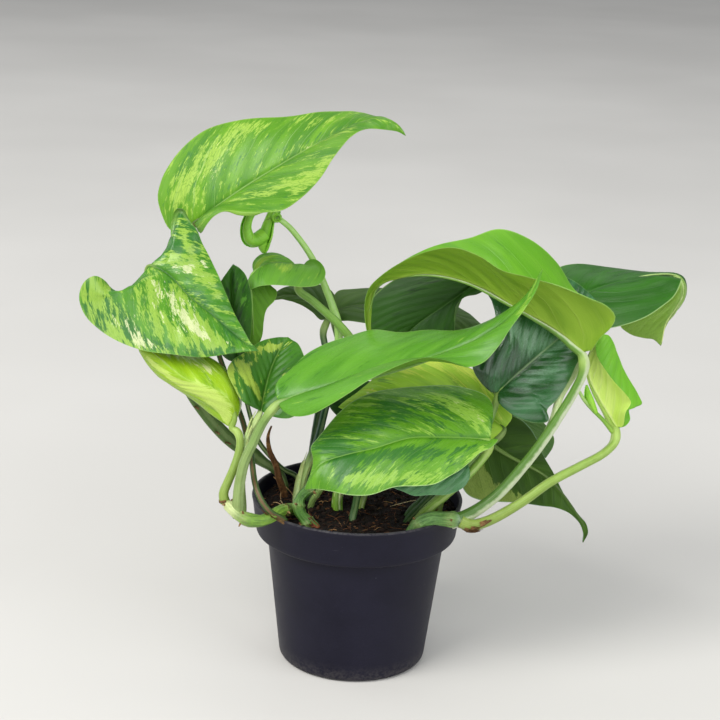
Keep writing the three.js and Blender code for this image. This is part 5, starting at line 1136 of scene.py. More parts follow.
def crumb_material(name, dark, mid, pale, share=0.5):
    """Crumbs differ from each other by the number that each carries in paint."""
    m = Mat(name)
    p = m.node("ShaderNodeTexCoord").outputs["Object"]
    r, g, b = m.xyz(m.attr("paint").outputs["Vector"])
    n = m.noise(p, 900.0, 3.0, 0.7)
    col = m.mix(m.ramp(r, 0.1, 0.8), C(*dark), C(*mid))
    col = m.mix(m.ramp(r, share + 0.2, 1.0), col, C(*pale))
    col = m.mix(m.mul(m.ramp(n, 0.4, 0.7), 0.5), col, m.mix(1.0, col, C(110, 100, 90), "MULTIPLY"))
    return m.surface(col, m.ramp(n, 0.3, 0.7, 0.7, 0.92), m.bump(n, 0.9, 0.0007), spec=0.25)


def pot_material(name):
    """Moulded polypropylene: blue-black, satin, finely scuffed, a little dust; paler in patches at the foot and on the
    top of the rim.
    """
    m = Mat(name)
    p = m.node("ShaderNodeTexCoord").outputs["Object"]
    x, y, z = m.xyz(p)
    r = m.math("SQRT", m.add(m.mul(x, x), m.mul(y, y)))
    turn = m.vec(m.mul(m.math("ARCTAN2", y, x), 0.05), m.mul(z, 3.2), m.mul(r, 1.0))
    hair = m.noise(turn, 700.0, 3.0, 0.7)
    cloud = m.noise(p, 28.0, 3.0, 0.6)
    pit = m.noise(p, 1700.0, 2.0, 0.6)
    dust = m.noise(p, 420.0, 4.0, 0.7)
    mark = m.noise(m.vec(m.mul(x, 40.0), m.mul(y, 40.0), m.mul(z, 260.0)), 1.6, 3.0, 0.6)
    col = m.mix(m.ramp(cloud, 0.3, 0.7), C(16, 15, 30), C(23, 22, 37))
    col = m.mix(m.mul(m.ramp(hair, 0.5, 0.78), 0.30), col, C(42, 42, 62))
    col = m.mix(m.mul(m.ramp(dust, 0.70, 0.80), 0.5), col, C(128, 128, 132))
    col = m.mix(m.mul(m.ramp(mark, 0.74, 0.86), 0.3), col, C(112, 112, 118))
    # paler in patches near the foot
    low = m.mul(m.ramp(z, 0.012, 0.0), m.ramp(dust, 0.35, 0.65))
    col = m.mix(m.mul(low, 0.4), col, C(88, 84, 82))
    # paler in patches on the top of the rim
    lip = m.mul(m.ramp(z, 0.0962, 0.0975), m.ramp(dust, 0.3, 0.6))
    col = m.mix(m.mul(lip, 0.3), col, C(110, 108, 104))
    # the faint rings that the mould leaves near the foot
    ring = m.math("SINE", m.mul(m.add(z, m.mul(cloud, 0.0015)), 3600.0))
    ring = m.mul(m.ramp(ring, 0.2, 1.0), m.ramp(z, 0.04, 0.006))
    rough = m.add(m.ramp(cloud, 0.3, 0.7, 0.42, 0.52), m.mul(m.ramp(hair, 0.45, 0.8), 0.12))
    h = m.add(m.add(m.mul(hair, 0.3), m.mul(pit, 0.35)), m.mul(ring, 0.25))
    return m.surface(col, rough, m.bump(h, 0.35, 0.00025), spec=0.22)


# ------------------------------------------------------------------ looks
BASE = dict(rough=0.36, through=0.22, light=0.0, cream=-0.1, dark=0.0,
            c0=(58, 112, 34), c1=(78, 138, 42), cl=(150, 192, 60), cc=(222, 232, 170), cd=(28, 66, 34), cm=(128, 172, 84),
            u0=(86, 122, 66), u1=(102, 140, 74), ul=(150, 178, 84), uc=(205, 214, 160), ud=(70, 104, 58), um=(150, 178, 116),
            p0=(126, 150, 70), p1=(122, 164, 66), p2=(140, 184, 78))


def look(**k):
    d = dict(BASE)
    d.update(k)
    return d


LOOKS = {
    "leaf_top": look(cells=4.6, net=0.8, rimmix=0.3, c0=(80, 140, 30), c1=(112, 168, 36), light=0.035, cream=-0.035, cl=(172, 206, 84), cc=(222, 232, 150), cd=(66, 128, 52), cm=(150, 190, 100), grain=(1.3, 2.6), edge=0.03, vein=0.34, stria=0.34, rough=0.30, coat=0.1, rimc=(180, 206, 110),
                     u0=(130, 160, 66), u1=(150, 176, 74), p0=(58, 82, 32), p1=(58, 96, 38), p2=(136, 164, 76), pstops=(0.0, 0.4, 0.6, 0.7), pc=(104, 76, 46), channel=0.85, pw=0.1, pspots=0.4),
    "leaf_left_variegated": look(rimmix=0.25, c0=(66, 130, 34), c1=(92, 154, 40), light=0.05, cream=-0.02, cl=(160, 198, 76), cc=(222, 230, 172), cd=(52, 116, 42), cm=(60, 108, 48), ribmix=0.75, rough=0.24, coat=0.32, edge=0.03, grain=(1.7, 2.1), sweep=1.3, vein=0.1,
                                 u0=(30, 76, 42), u1=(42, 90, 46), ul=(74, 118, 56), uc=(110, 140, 80), um=(50, 98, 50), ud=(22, 56, 40), upaint=0.0, p0=(72, 96, 44), p1=(84, 116, 52), p2=(104, 146, 62), pc=(140, 160, 104), pspots=0.8),
    # leaf_left_low: cl is the painted light and sheen on its curled lower half
    "leaf_left_low": look(c0=(146, 188, 30), c1=(170, 208, 38), light=0.0, cream=-0.06, cl=(206, 230, 112), cc=(230, 238, 160), cd=(116, 162, 34), cm=(190, 216, 100), vein=0.04, crease=0.1, ribmix=0.3, edge=0.05, coat=0.4, stria=0.1, relief=0.15, rimc=(206, 224, 120), rough=0.26,
                          u0=(150, 178, 60), u1=(166, 192, 72), through=0.22, p0=(136, 160, 72), p1=(134, 164, 66), p2=(160, 192, 76)),
    "leaf_left_dark": look(c0=(36, 84, 16), c1=(50, 100, 22), cd=(20, 54, 16), cm=(70, 116, 42), cl=(84, 142, 42), light=-0.04, cream=-0.3, dark=0.04, grain=(1.3, 2.2), edge=0.03, p0=(54, 84, 34), p1=(64, 100, 40), p2=(66, 106, 42), rimmix=0.3, coat=0.1),
    "leaf_centre_curled": look(c0=(94, 152, 44), c1=(112, 168, 56), cl=(156, 192, 66), cc=(200, 214, 120), cd=(64, 118, 40), cm=(120, 162, 76), light=-0.02, cream=-0.2, rough=0.42, edge=0.05,
                               u0=(98, 150, 42), u1=(112, 164, 50), ul=(176, 206, 80), upaint=1.4, um=(104, 154, 50), p0=(114, 158, 50), p1=(112, 158, 58), p2=(134, 180, 78), pc=(176, 206, 120), channel=0.2),
    "leaf_back_small": look(c0=(66, 96, 40), c1=(82, 114, 46), cd=(46, 66, 38), cm=(104, 122, 76), u0=(70, 96, 48), u1=(82, 108, 56), light=-0.12, cream=-0.3, rough=0.46, p0=(50, 86, 44), p1=(44, 82, 46), p2=(52, 88, 38), channel=0.15),
    "leaf_back_long": look(c0=(66, 98, 40), c1=(84, 118, 46), cd=(46, 66, 38), cm=(104, 124, 78), u0=(66, 90, 48), u1=(78, 102, 54), light=-0.12, cream=-0.3, rough=0.46, p0=(58, 94, 42), p1=(60, 98, 40), p2=(56, 90, 38), channel=0.15),
    "leaf_left_round": look(c0=(56, 112, 28), c1=(74, 132, 36), cl=(170, 196, 74), cc=(212, 222, 130), cd=(36, 84, 26), cm=(118, 160, 68), light=-0.01, cream=-0.09, coat=0.1, grain=(1.5, 2.2), vein=0.1,
                            p0=(108, 132, 64), p1=(140, 160, 96), p2=(190, 204, 150)),
    "leaf_front_long": look(c0=(86, 148, 40), c1=(106, 168, 50), cl=(150, 196, 72), cc=(204, 224, 140), cd=(60, 120, 34), cm=(124, 176, 70), light=-0.05, cream=-0.12, rough=0.28, stria=0.26, coat=0.16,
                            u0=(112, 158, 52), u1=(124, 170, 60), ul=(172, 204, 104), upaint=1.5, p0=(138, 158, 96), p1=(104, 144, 64), p2=(124, 172, 76), pc=(176, 200, 140), rimc=(186, 216, 130), rimmix=0.4),
    "leaf_right_arching": look(c0=(98, 162, 34), c1=(116, 178, 42), cl=(158, 196, 84), cc=(196, 212, 140), cd=(70, 134, 32), cm=(170, 202, 100), light=-0.08, cream=-0.14, rib=0.11, rough=0.30,
                               u0=(130, 166, 46), u1=(150, 184, 58), ul=(172, 198, 76), uc=(206, 214, 130), ud=(100, 138, 40), um=(168, 190, 86), through=0.26, vein=0.12,
                               p0=(72, 110, 38), p1=(92, 134, 46), p2=(132, 172, 76), pc=(210, 220, 186), channel=0.85, pw=0.17),
    "leaf_centre_hanging": look(c0=(38, 80, 16), c1=(48, 94, 20), cd=(26, 58, 16), cm=(82, 122, 52), light=-0.14, cream=-0.3, rough=0.40, p0=(104, 146, 48), p1=(108, 152, 56), channel=0.15),
    # leaf_right_dark: the bluish c1 and the pale bluish cl are partly its own blue-green and partly a painted sheen of
    # reflected light
    "leaf_right_dark": look(c0=(42, 94, 42), c1=(68, 126, 76), cl=(118, 162, 124), cd=(18, 54, 22), cm=(136, 166, 110), light=-0.12, cream=-0.3, rough=0.24, coat=0.34, spec=0.5, stria=0.1, relief=0.12, edge=0.13, grain=(0.9, 1.9), rimc=(140, 180, 110), rimmix=0.6,
                            p0=(96, 140, 44), p1=(108, 152, 56), p2=(120, 160, 74), channel=0.15),
    # leaf_right_far: painted light, cl and the raised under colours (ugain) brighten the down-turned tip where it lies
    # in shade; its olive-lime is partly the underside's own colour
    "leaf_right_far": look(ugain=(1.22, 1.16, 1.3), c0=(32, 88, 4), c1=(44, 104, 10), cl=(160, 196, 92), cd=(34, 84, 20), cm=(66, 124, 40), vein=0.1, light=-0.12, cream=-0.3, rough=0.30, coat=0.1, rimc=(170, 200, 130), rimmix=0.8,
                           u0=(176, 206, 96), u1=(190, 216, 110), ul=(204, 226, 130), p0=(150, 176, 96), p1=(190, 206, 150), p2=(160, 190, 110)),
    # leaf_right_young: painted light, its underside colours are raised near white-lime to make up for the shade of the
    # leaf above it
    "leaf_right_young": look(c0=(108, 180, 36), c1=(124, 192, 42), cl=(168, 208, 84), cc=(214, 230, 160), cd=(88, 156, 34), cm=(184, 216, 110), light=-0.05, cream=-0.15,
                             u0=(205, 238, 100), u1=(220, 244, 128), ul=(232, 248, 160), uc=(240, 248, 200), ud=(196, 232, 110), um=(232, 246, 170), through=0.12, sheen=0.3, ucoat=0.3, p0=(128, 150, 66), p1=(140, 170, 76), p2=(170, 202, 92), pc=(200, 216, 152)),
    "leaf_right_drooping": look(c0=(40, 84, 24), c1=(54, 102, 30), cd=(30, 66, 24), cm=(90, 126, 56), light=-0.09, cream=-0.15,
                                u0=(46, 76, 16), u1=(68, 102, 26), ul=(186, 206, 104), uc=(216, 222, 156), ud=(46, 72, 22), um=(80, 112, 42), upaint=1.0, rimc=(160, 196, 160), rimmix=0.8, p0=(116, 144, 62), p1=(110, 142, 60), p2=(70, 98, 36), channel=0.1),
    "leaf_front_variegated": look(c0=(86, 144, 34), c1=(108, 166, 42), light=0.03, cream=-0.06, dark=0.03, cl=(156, 200, 76), cc=(220, 230, 160), cd=(52, 112, 44), cm=(132, 178, 74), rough=0.27, coat=0.2, spec=0.34, edge=0.035, grain=(1.15, 2.5), rimmix=0.8, rimc=(190, 222, 150), crease=0.5, vein=0.22, stria=0.3,
                                  p0=(116, 148, 56), p1=(126, 168, 64), p2=(144, 188, 78), pc=(190, 210, 140), rib=0.06),
    # leaf_front_second: painted light, its colours and gain are raised well above a leaf's own to make up for the shade
    # of the leaves above it
    "leaf_front_second": look(gain=(1.25, 1.2, 1.1), ugain=(1.3, 1.25, 1.1), p0=(54, 90, 38), p1=(66, 106, 44), p2=(160, 188, 92), pstops=(0.0, 0.3, 0.5, 0.62), channel=0.15, c0=(136, 182, 62), c1=(156, 198, 74), cl=(186, 214, 96), cc=(232, 240, 180), cd=(96, 146, 50), cm=(160, 190, 90), light=0.0, cream=-0.1, through=0.10, edge=0.03, rimc=(190, 210, 110), u0=(150, 192, 80), u1=(168, 206, 96), ul=(192, 218, 116), uc=(232, 240, 190), ud=(108, 152, 58), um=(176, 206, 116), upaint=1.0),
    # leaf_front_small: its bluish greens are partly its own colour and partly a painted sheen of reflected light
    "leaf_front_small": look(p0=(48, 84, 36), p1=(58, 96, 44), p2=(80, 124, 60), channel=0.15, c0=(88, 142, 90), c1=(102, 156, 104), cd=(62, 112, 76), cm=(124, 160, 110), cl=(140, 182, 152), light=-0.03, cream=-0.3, dark=0.04, edge=0.05, grain=(1.6, 2.4), rough=0.26, stria=0.55, rimc=(150, 190, 150), coat=0.25),
    "leaf_inner_dark": look(c0=(34, 72, 26), c1=(44, 86, 30), cd=(24, 52, 22), cm=(72, 104, 50), light=-0.14, cream=-0.3),
    "leaf_right_hidden": look(c0=(66, 118, 40), c1=(82, 136, 46), cd=(48, 88, 34), cm=(104, 140, 70), light=-0.1, cream=-0.25),
}

FORM = {
    "leaf_top": dict(veins=10, wave=0.9, hems=[(1, 0.075, 0.22, 3.0, 110, False), (-1, 0.5, 0.95, 2.0, 60, False)], groove=(-1.0, -0.2, 0.28), fat=0.86),
    "leaf_left_variegated": dict(veins=9, wave=1.0, bump=0.9, quilt=0.3, flat=(0.55, 1.55, 0.1, 0.8), dip={1: [(0.08, 0), (0.15, 3), (0.2, 8), (0.25, 11.5), (0.3, 10.3), (0.35, 6), (0.42, 2), (0.5, 0)]}, hems=[(-1, 0.03, 0.2, 4.2, 150, True)]),
    "leaf_left_low": dict(veins=8, wave=0.8, quilt=0.14, fat=1.1),
    "leaf_left_dark": dict(veins=7, wave=0.7, fat=1.0),
    "leaf_centre_curled": dict(veins=10, wave=0.6, quilt=0.25, bump=0.9, fat=1.35, groove=(0.6, -0.8, 0.4)),
    "leaf_back_small": dict(veins=7, fat=1.2),
    "leaf_back_long": dict(veins=9, fat=1.2),
    "leaf_left_round": dict(veins=9, wave=1.1, quilt=0.22),
    "leaf_front_long": dict(veins=11, wave=0.6, quilt=0.10, bump=0.35, fat=1.15),
    "leaf_right_arching": dict(veins=12, wave=0.8, quilt=0.2, hems=[(-1, 0.02, 0.2, 1.6, 80, False)], fat=1.12, rib=0.95, swell=0.3, flare=0.42, groove=(0.65, -0.72, -0.45)),
    "leaf_centre_hanging": dict(veins=9),
    "leaf_right_dark": dict(veins=11, wave=1.0, quilt=0.3, bump=0.8),
    "leaf_right_far": dict(veins=11, wave=0.6),
    "leaf_right_young": dict(veins=8, wave=0.5, fat=1.22, flare=0.3),
    "leaf_right_drooping": dict(veins=10, wave=0.7, quilt=0.2),
    "leaf_front_variegated": dict(veins=11, wave=0.8, quilt=0.14, fat=1.1),
    "leaf_front_second": dict(veins=10, wave=0.8, hems=[(1, 0.15, 0.75, 4.0, 170, True)]),
    "leaf_front_small": dict(veins=8, quilt=0.25),
    "leaf_inner_dark": dict(veins=8),
    "leaf_right_hidden": dict(veins=8),
}

SLOT = {r["node"]: r["material_slot"] for r in frame["record"]["subparts"]}

for i, (name, leaf) in enumerate(LEAVES.items()):
    leaf.update(FORM[name])
    leaf["seed"] = 3 + i
    leaf["node"] = (name,)
    leaf["slot"] = SLOT[name]
    k = LOOKS[name]
    k["veins"] = leaf["veins"]
    big = name not in ("leaf_inner_dark", "leaf_right_hidden", "leaf_front_small", "leaf_back_small", "leaf_left_dark")
    leaf_piece("blade_" + name, leaf, [leaf_material(name + "_upper", k), leaf_material(name + "_under", k, under=True), stalk_material(name + "_stalk", k)],
               ns=96 if big else 64, nt=26 if big else 18)

# ------------------------------------------------------------------ the leaf that is still rolled
# the rolled leaf's stalk: painted shade in its dark middle (p1), where it runs behind the leaves; its pale foot (p0) is
# its own colour, raised to make up for the shade of the leaf in front
YOUNG = look(p0=(204, 234, 146), p1=(40, 84, 56), p2=(168, 214, 112), pc=(206, 228, 170), channel=0.3, pspots=0.1, pstops=(0.14, 0.24, 0.42, 0.6))
# painted light: gain and ugain lift the roll's colours to make up for the shade inside and around its spiral
ROLL = look(gain=(1.16, 1.14, 1.0), ugain=(1.6, 1.6, 1.3), c0=(132, 196, 70), c1=(166, 220, 92), cl=(196, 234, 124), through=0.34, coat=0.2, cc=(214, 230, 160), cm=(150, 196, 90), light=-0.02, cream=-0.2, rough=0.28, ribmix=0.2, edge=0.05)
B = Build()
D = dense(ROLLED[0]["path"])
B_tube(B, D, [(a, r * (1.0 + 0.3 * min(1, a * 1.6))) for a, r in ROLLED[0]["r"]], 0, seed=41, flare=0.15, up=(0.3, -0.9, 0.5))


def rolled_sheet(B, D, radii, mat, turns, seed, sides=54, step=0.9, fray=0.5):
    """A young blade rolled on itself along a path: a spiral sheet whose outer edge runs slightly aslant."""
    L = length_of(D)
    k = max(16, int(L / step))
    u = np.linspace(0, 1, k + 1)
    p = along(D, u)
    t = unit(np.gradient(p, axis=0))
    for _ in range(3):
        t[1:-1] = unit(t[:-2] + 2 * t[1:-1] + t[2:])
    n, b = frames(p, t, (0.3, -1.0, 0.2))
    r = np.interp(u, [a for a, _ in radii], [c for _, c in radii])
    for _ in range(4):
        r[1:-1] = (r[:-2] + 2 * r[1:-1] + r[2:]) / 4
    w = np.linspace(0, 1, sides)
    W, U = np.meshgrid(w, u)
    ang = 2 * np.pi * turns * W + 0.9 * U + 0.12 * noise3(np.stack([U * 5, 0 * U, 0 * U + seed], -1), seed)
    rad = r[:, None] * (0.30 + 0.70 * W ** 0.75) * (1 + 0.03 * fbm(np.stack([np.cos(ang), np.sin(ang), U * L / 5], -1) + seed, 2, seed))
    lift = fray * np.exp(-((1 - W) / 0.05) ** 2) * 0.4
    V = p[:, None] + (rad + lift)[..., None] * (np.cos(ang)[..., None] * n[:, None] + np.sin(ang)[..., None] * b[:, None])
    th = 0.22
    out = np.cos(ang)[..., None] * n[:, None] + np.sin(ang)[..., None] * b[:, None]
    top, low = V + out * th, V - out * th
    m = (k + 1) * sides
    VV = np.vstack([top.reshape(-1, 3), low.reshape(-1, 3)])
    F = []
    for i in range(k):
        for j in range(sides - 1):
            a, c, e, f = i * sides + j, i * sides + j + 1, (i + 1) * sides + j + 1, (i + 1) * sides + j
            F.append((a, c, e, f))
            F.append((m + a, m + f, m + e, m + c))
    for i in range(k):
        for j in (0, sides - 1):
            a, f = i * sides + j, (i + 1) * sides + j
            F.append((a, f, m + f, m + a) if j == 0 else (a, m + a, m + f, f))
    for j in range(sides - 1):
        F.append((j, m + j, m + j + 1, j + 1))
        a = k * sides + j
        F.append((a, a + 1, m + a + 1, m + a))
    T = W * 1.6 - 0.8
    lc = np.stack([np.abs(T) * 2.0, U * L / 10 * 1.5, 0 * U + seed], -1).reshape(-1, 3)
    uv = np.stack([0.5 + 0.5 * T / 1.2, 0.15 + U * 0.7], -1).reshape(-1, 2)
    pa = np.zeros((m, 4))
    B.add(VV, F, mat, np.vstack([uv, uv]), np.vstack([lc, lc]), np.vstack([pa, pa]))


bulb = [(0, 1.8), (0.15, 2.4), (0.35, 3.3), (0.6, 4.5), (0.85, 3.9), (0.95, 2.8), (1, 1.2)]
limb = [(0, 4.8), (0.12, 5.4), (0.26, 4.9), (0.42, 3.9), (0.6, 3.1), (0.8, 2.6), (1, 1.6)]
rolled_sheet(B, dense(ROLLED[1]["path"]), bulb, 1, 1.7, 51)
rolled_sheet(B, dense(ROLLED[2]["path"]), limb, 1, 1.6, 52)
B_tube(B, dense(ROLLED[1]["path"]), [(a, c * 0.62) for a, c in bulb], 1, seed=53, step=1.0, groove=0)
B_tube(B, dense(ROLLED[2]["path"]), [(a, c * 0.6) for a, c in limb], 1, seed=54, step=1.0, groove=0)
# the small scroll where the roll starts
knob = np.asarray(ROLLED[1]["path"][0], float)
rolled_sheet(B, dense([knob + (0.4, -3.4, 0.2), knob + (0.1, -1.0, 0.0), knob + (-0.3, 1.6, -0.4), knob + (-0.8, 3.6, -0.8)]), [(0, 2.4), (0.3, 3.6), (0.7, 3.6), (1, 2.4)], 1, 1.8, 55)
ROLL["veins"] = 6
B.make("young_roll", [stalk_material("young_stalk", YOUNG), leaf_material("young_roll_skin", ROLL)], replaces=("leaf_rolled",), sharp=75)

# ------------------------------------------------------------------ vines
vines = {
    "vine_left": stem_material("vine_left", dict(a=(92, 130, 44), b=(122, 160, 54), c=(56, 92, 34), pale=(0.78, 1.0, (206, 216, 156)), brown=(112, 84, 48), bark=0.65)),
    "vine_right": stem_material("vine_right", dict(a=(74, 116, 52), b=(104, 146, 72), c=(42, 80, 36), pale=(0.9, 1.0, (192, 208, 200)), brown=(112, 80, 46))),
    "vine_centre": stem_material("vine_centre", dict(a=(62, 106, 38), b=(86, 132, 48), c=(40, 78, 30), brown=(104, 74, 42))),
    "stem_stub": stem_material("stem_stub", dict(a=(132, 166, 84), b=(160, 190, 108), c=(90, 134, 60))),
}
RINGS = {
    "vine_left": [(0.46, 0.35, 1.0), (0.80, 0.35, 1.6), (0.955, 0.35, 0.9)],
    "vine_right": [(0.42, 0.3, 1.0), (0.86, 0.3, 1.6)],
    "vine_centre": [(0.36, 0.45, 1.1), (0.60, 0.4, 1.0), (0.88, 0.35, 0.9)],
    "stem_stub": [(0.75, 0.2, 0.8)],
}
FAT = {"vine_left": 1.2, "vine_right": 1.25, "vine_centre": 1.15, "stem_stub": 1.1}
for i, (name, mat) in enumerate(vines.items()):
    B = Build()
    D = dense(STEMS[name]["path"])
    p, t, n, b, r = B_tube(B, D, [(a, c * FAT[name]) for a, c in STEMS[name]["r"][:-1]] + [(0.95, STEMS[name]["r"][-1][1] * FAT[name]), (0.985, STEMS[name]["r"][-1][1] * 0.8), (1.0, 0.5)], 0, sides=40, step=0.5, seed=61 + i, groove=0.05, ribs=0.05, rings=RINGS[name], rough=0.02)
    # stubs of aerial roots at the nodes
    for q, (a, h, w) in enumerate(RINGS[name]):
        i0 = int(a * (len(p) - 1))
        for s in range(2):
            ang = 2.2 + 2.4 * s + q * 1.3
            d = math.cos(ang) * n[i0] + math.sin(ang) * b[i0]
            d = unit(d + 0.35 * t[i0])
            P = np.array([p[i0] + d * r[i0] * 0.7, p[i0] + d * (r[i0] + 0.9), p[i0] + d * (r[i0] + 1.5 + 0.5 * s) + np.array([0, 0, -0.5])])
            B_tube(B, dense(P), [(0, 0.75), (0.6, 0.6), (1, 0.3)], 1, sides=10, step=0.35, seed=71 + q + s, groove=0)
    B.make("runner_" + name, [mat, dry_material(name + "_bark", (128, 98, 60), (92, 66, 38), (170, 146, 100))], replaces=(name,))

B = Build()
D = dense(STEMS["dry_petiole"]["path"])
B_tube(B, D, STEMS["dry_petiole"]["r"], 0, sides=28, step=0.6, seed=81, groove=0.35, ribs=0.06, rough=0.07)
B.make("withered_petiole", [dry_material("withered", (112, 76, 44), (78, 50, 28), (150, 112, 68))], replaces=("dry_petiole",))

# ------------------------------------------------------------------ what is left of old sheaths, and loose roots
def stalk_of(name):
    return dense(np.asarray(LEAVES[name]["petiole"], float))


papery = papery_material("old_sheath", (152, 118, 74), (118, 86, 50), (78, 52, 30))
rusty = papery_material("rusty_sheath", (156, 92, 58), (118, 62, 40), (74, 40, 26))
# green_sheath: its own pale green, raised further as painted light to make up for the shade of the leaf in front
pale_sheath = papery_material("green_sheath", (228, 248, 192), (178, 222, 122), (196, 206, 130), 0.2)
B = Build()
sheath(B, stalk_of("leaf_top"), 1.9, 0.0, 0.085, (-0.8, -0.5, -0.1), 120, flare=0.5, rag=0.5, seed=1)
for facing, spread, a0, a1, seed in (((0.1, -0.5, -0.9), 90, 0.03, 0.17, 2), ((-0.1, -1.0, -0.3), 55, 0.05, 0.15, 3), ((0.1, -0.9, 0.3), 40, 0.09, 0.20, 9), ((0.2, 0.2, -1.0), 60, 0.02, 0.13, 10)):
    sheath(B, stalk_of("leaf_right_young"), 3.3, a0, a1, facing, spread, flare=0.7, rag=0.85, seed=seed)
sheath(B, dense(STEMS["vine_left"]["path"]), 2.8, 0.50, 0.42, (0.1, -0.7, 0.7), 210, flare=0.6, rag=0.5, seed=4)
for a, seed in ((0.31, 5), (0.36, 6), (0.47, 7)):
    sheath(B, stalk_of("leaf_left_variegated"), 2.5, a - 0.008, a + 0.02, (-0.7, -0.7, -0.4), 75, flare=0.8, rag=0.6, seed=seed)
sheath(B, stalk_of("leaf_left_low"), 2.6, 0.05, 0.0, (-0.5, -0.8, -0.3), 120, flare=0.3, rag=0.4, seed=8)
B.make("old_sheaths", [papery])
B = Build()
sheath(B, stalk_of("leaf_front_variegated"), 3.2, 0.14, 0.42, (0.9, -0.35, -0.2), 130, flare=0.7, rag=0.5, seed=11)
sheath(B, dense(STEMS["vine_centre"]["path"]), 3.0, 0.22, 0.45, (0.8, -0.2, 0.5), 140, flare=1.0, rag=0.6, seed=12)
sheath(B, stalk_of("leaf_right_drooping"), 2.2, 0.62, 0.86, (0.2, -0.9, 0.4), 60, flare=0.3, rag=0.6, seed=13)
B.make("rusty_sheaths", [rusty])
B = Build()
sheath(B, dense(ROLLED[0]["path"]), 2.2, 0.04, 0.21, (-0.75, -0.6, 0.1), 200, flare=1.3, rag=0.55, seed=21)
sheath(B, stalk_of("leaf_left_round"), 2.0, 0.62, 0.99, (-0.8, -0.5, 0.2), 130, flare=0.7, rag=0.5, seed=22)
sheath(B, stalk_of("leaf_left_round"), 2.0, 0.50, 0.80, (0.5, -0.9, 0.2), 80, flare=0.4, rag=0.5, seed=23)
sheath(B, stalk_of("leaf_centre_curled"), 2.4, 0.06, 0.20, (0.3, -0.9, 0.1), 170, flare=0.6, rag=0.5, seed=24)
B.make("green_sheaths", [pale_sheath])

# a thin stalk between two petioles at the right, with the bud that it carries
B = Build()
twig = dense([(142.0, -6.0, 142.6), (136.0, -7.0, 149.6), (128.6, -9.0, 157.0), (123.6, -10.0, 162.6), (120.5, -11.0, 167.5)])
B_tube(B, twig, [(0, 1.5), (0.3, 1.15), (0.7, 1.1), (1, 0.9)], 0, sides=16, step=0.7, seed=91)
rolled_sheet(B, dense([(131.0, -8.4, 154.6), (128.0, -9.2, 160.0), (125.6, -10.0, 166.0), (124.4, -10.8, 171.2)], 12), [(0, 1.2), (0.25, 2.3), (0.55, 2.4), (0.85, 1.3), (1, 0.5)], 1, 1.6, 56)
B.make("small_bud", [stalk_material("bud_stalk", look(p0=(150, 190, 76), p1=(128, 178, 66), p2=(170, 204, 120))), leaf_material("bud_skin", ROLL)])

# loose straw-coloured roots on the compost
B = Build()
for q, (pts, w) in enumerate([
        ([(-51.0, 31.0, 95.5), (-47.0, 27.0, 93.6), (-42.5, 21.0, 92.6), (-39.0, 14.6, 92.0), (-37.0, 9.0, 91.6)], 0.34),
        ([(-45.5, 33.0, 95.5), (-44.6, 26.0, 94.4), (-43.5, 18.0, 93.4), (-44.1, 6.0, 92.4), (-43.0, -2.0, 91.6)], 0.30),
        ([(-47.5, -5.0, 92.2), (-45.5, -8.0, 93.6), (-42.8, -10.4, 93.2), (-40.6, -12.6, 91.8)], 0.32),
        ([(-44.0, -2.0, 91.8), (-43.2, -6.4, 94.2), (-41.4, -9.4, 92.6), (-38.4, -10.8, 91.6)], 0.26),
        ([(36.0, 10.0, 91.4), (31.0, 4.0, 93.0), (25.0, 0.0, 92.8), (19.0, -2.0, 91.6)], 0.28)]):
    B_tube(B, dense(pts, 10), [(0, w), (0.6, w * 0.85), (1, w * 0.4)], 0, sides=8, step=0.6, seed=q, groove=0)
    B.PA[-1] = np.tile([0.55 + 0.1 * q, 0, 0, 1], (len(B.PA[-1]), 1))
B.make("loose_roots", [crumb_material("straw_roots", (150, 112, 70), (186, 150, 104), (214, 196, 158), 0.5)])

# ------------------------------------------------------------------ pot
OUT = [(0, 0), (39.4, 0), (40.6, 0.25), (41.5, 0.9), (42.1, 1.8), (42.4, 3)]
H = [(50.9, 75), (51.35, 75.7), (52.2, 76), (56.1, 76.2), (56.9, 76.7), (57.3, 77.6)]
LIP = [(59.6, 95.5), (59.95, 96.2), (60, 96.7), (59.85, 97.2), (59.4, 97.5), (58.4, 97.5), (58.0, 97.1), (57.8, 96.5)]
INN = [(56, 78.6), (55.7, 77.6), (54.8, 76.6), (50.9, 76.3), (50.1, 75.8), (49.9, 75.0)]
profile = [(0, 0), (20, 0), (34, 0)] + OUT[1:]
profile += [(42.4 + 8.5 * q / 24, 3 + 72 * q / 24) for q in range(1, 24)] + H
profile += [(57.3 + 2.3 * q / 8, 77.6 + 17.9 * q / 8) for q in range(1, 8)] + LIP
profile += [(57.8 - 1.8 * q / 5, 96.5 - 17.9 * q / 5) for q in range(1, 5)] + INN
profile += [(49.9 - 8.8 * q / 12, 75 - 71 * q / 12) for q in range(1, 12)] + [(41.1, 4), (40.4, 2.6), (39.1, 2), (20, 2), (0, 2)]


def lathe(B, prof, seg, mat, wobble=None):
    idx, V = [], []
    for r, z in prof:
        if r < 1e-6:
            idx.append([len(V)] * seg)
            V.append((0, 0, z))
        else:
            idx.append(list(range(len(V), len(V) + seg)))
            for j in range(seg):
                a = 2 * math.pi * j / seg
                rr = r if wobble is None else r + wobble(r, z, a)
                V.append((rr * math.cos(a), rr * math.sin(a), z))
    F = []
    for i in range(len(prof) - 1):
        for j in range(seg):
            q = tuple(dict.fromkeys((idx[i][j], idx[i][(j + 1) % seg], idx[i + 1][(j + 1) % seg], idx[i + 1][j])))
            if len(q) >= 3:
                F.append(q)
    B.add(np.array(V), F, mat)


B = Build()
lathe(B, profile, 240, 0)
pot = B.make("moulded_pot", [pot_material("pot_plastic")], replaces=("pot",))

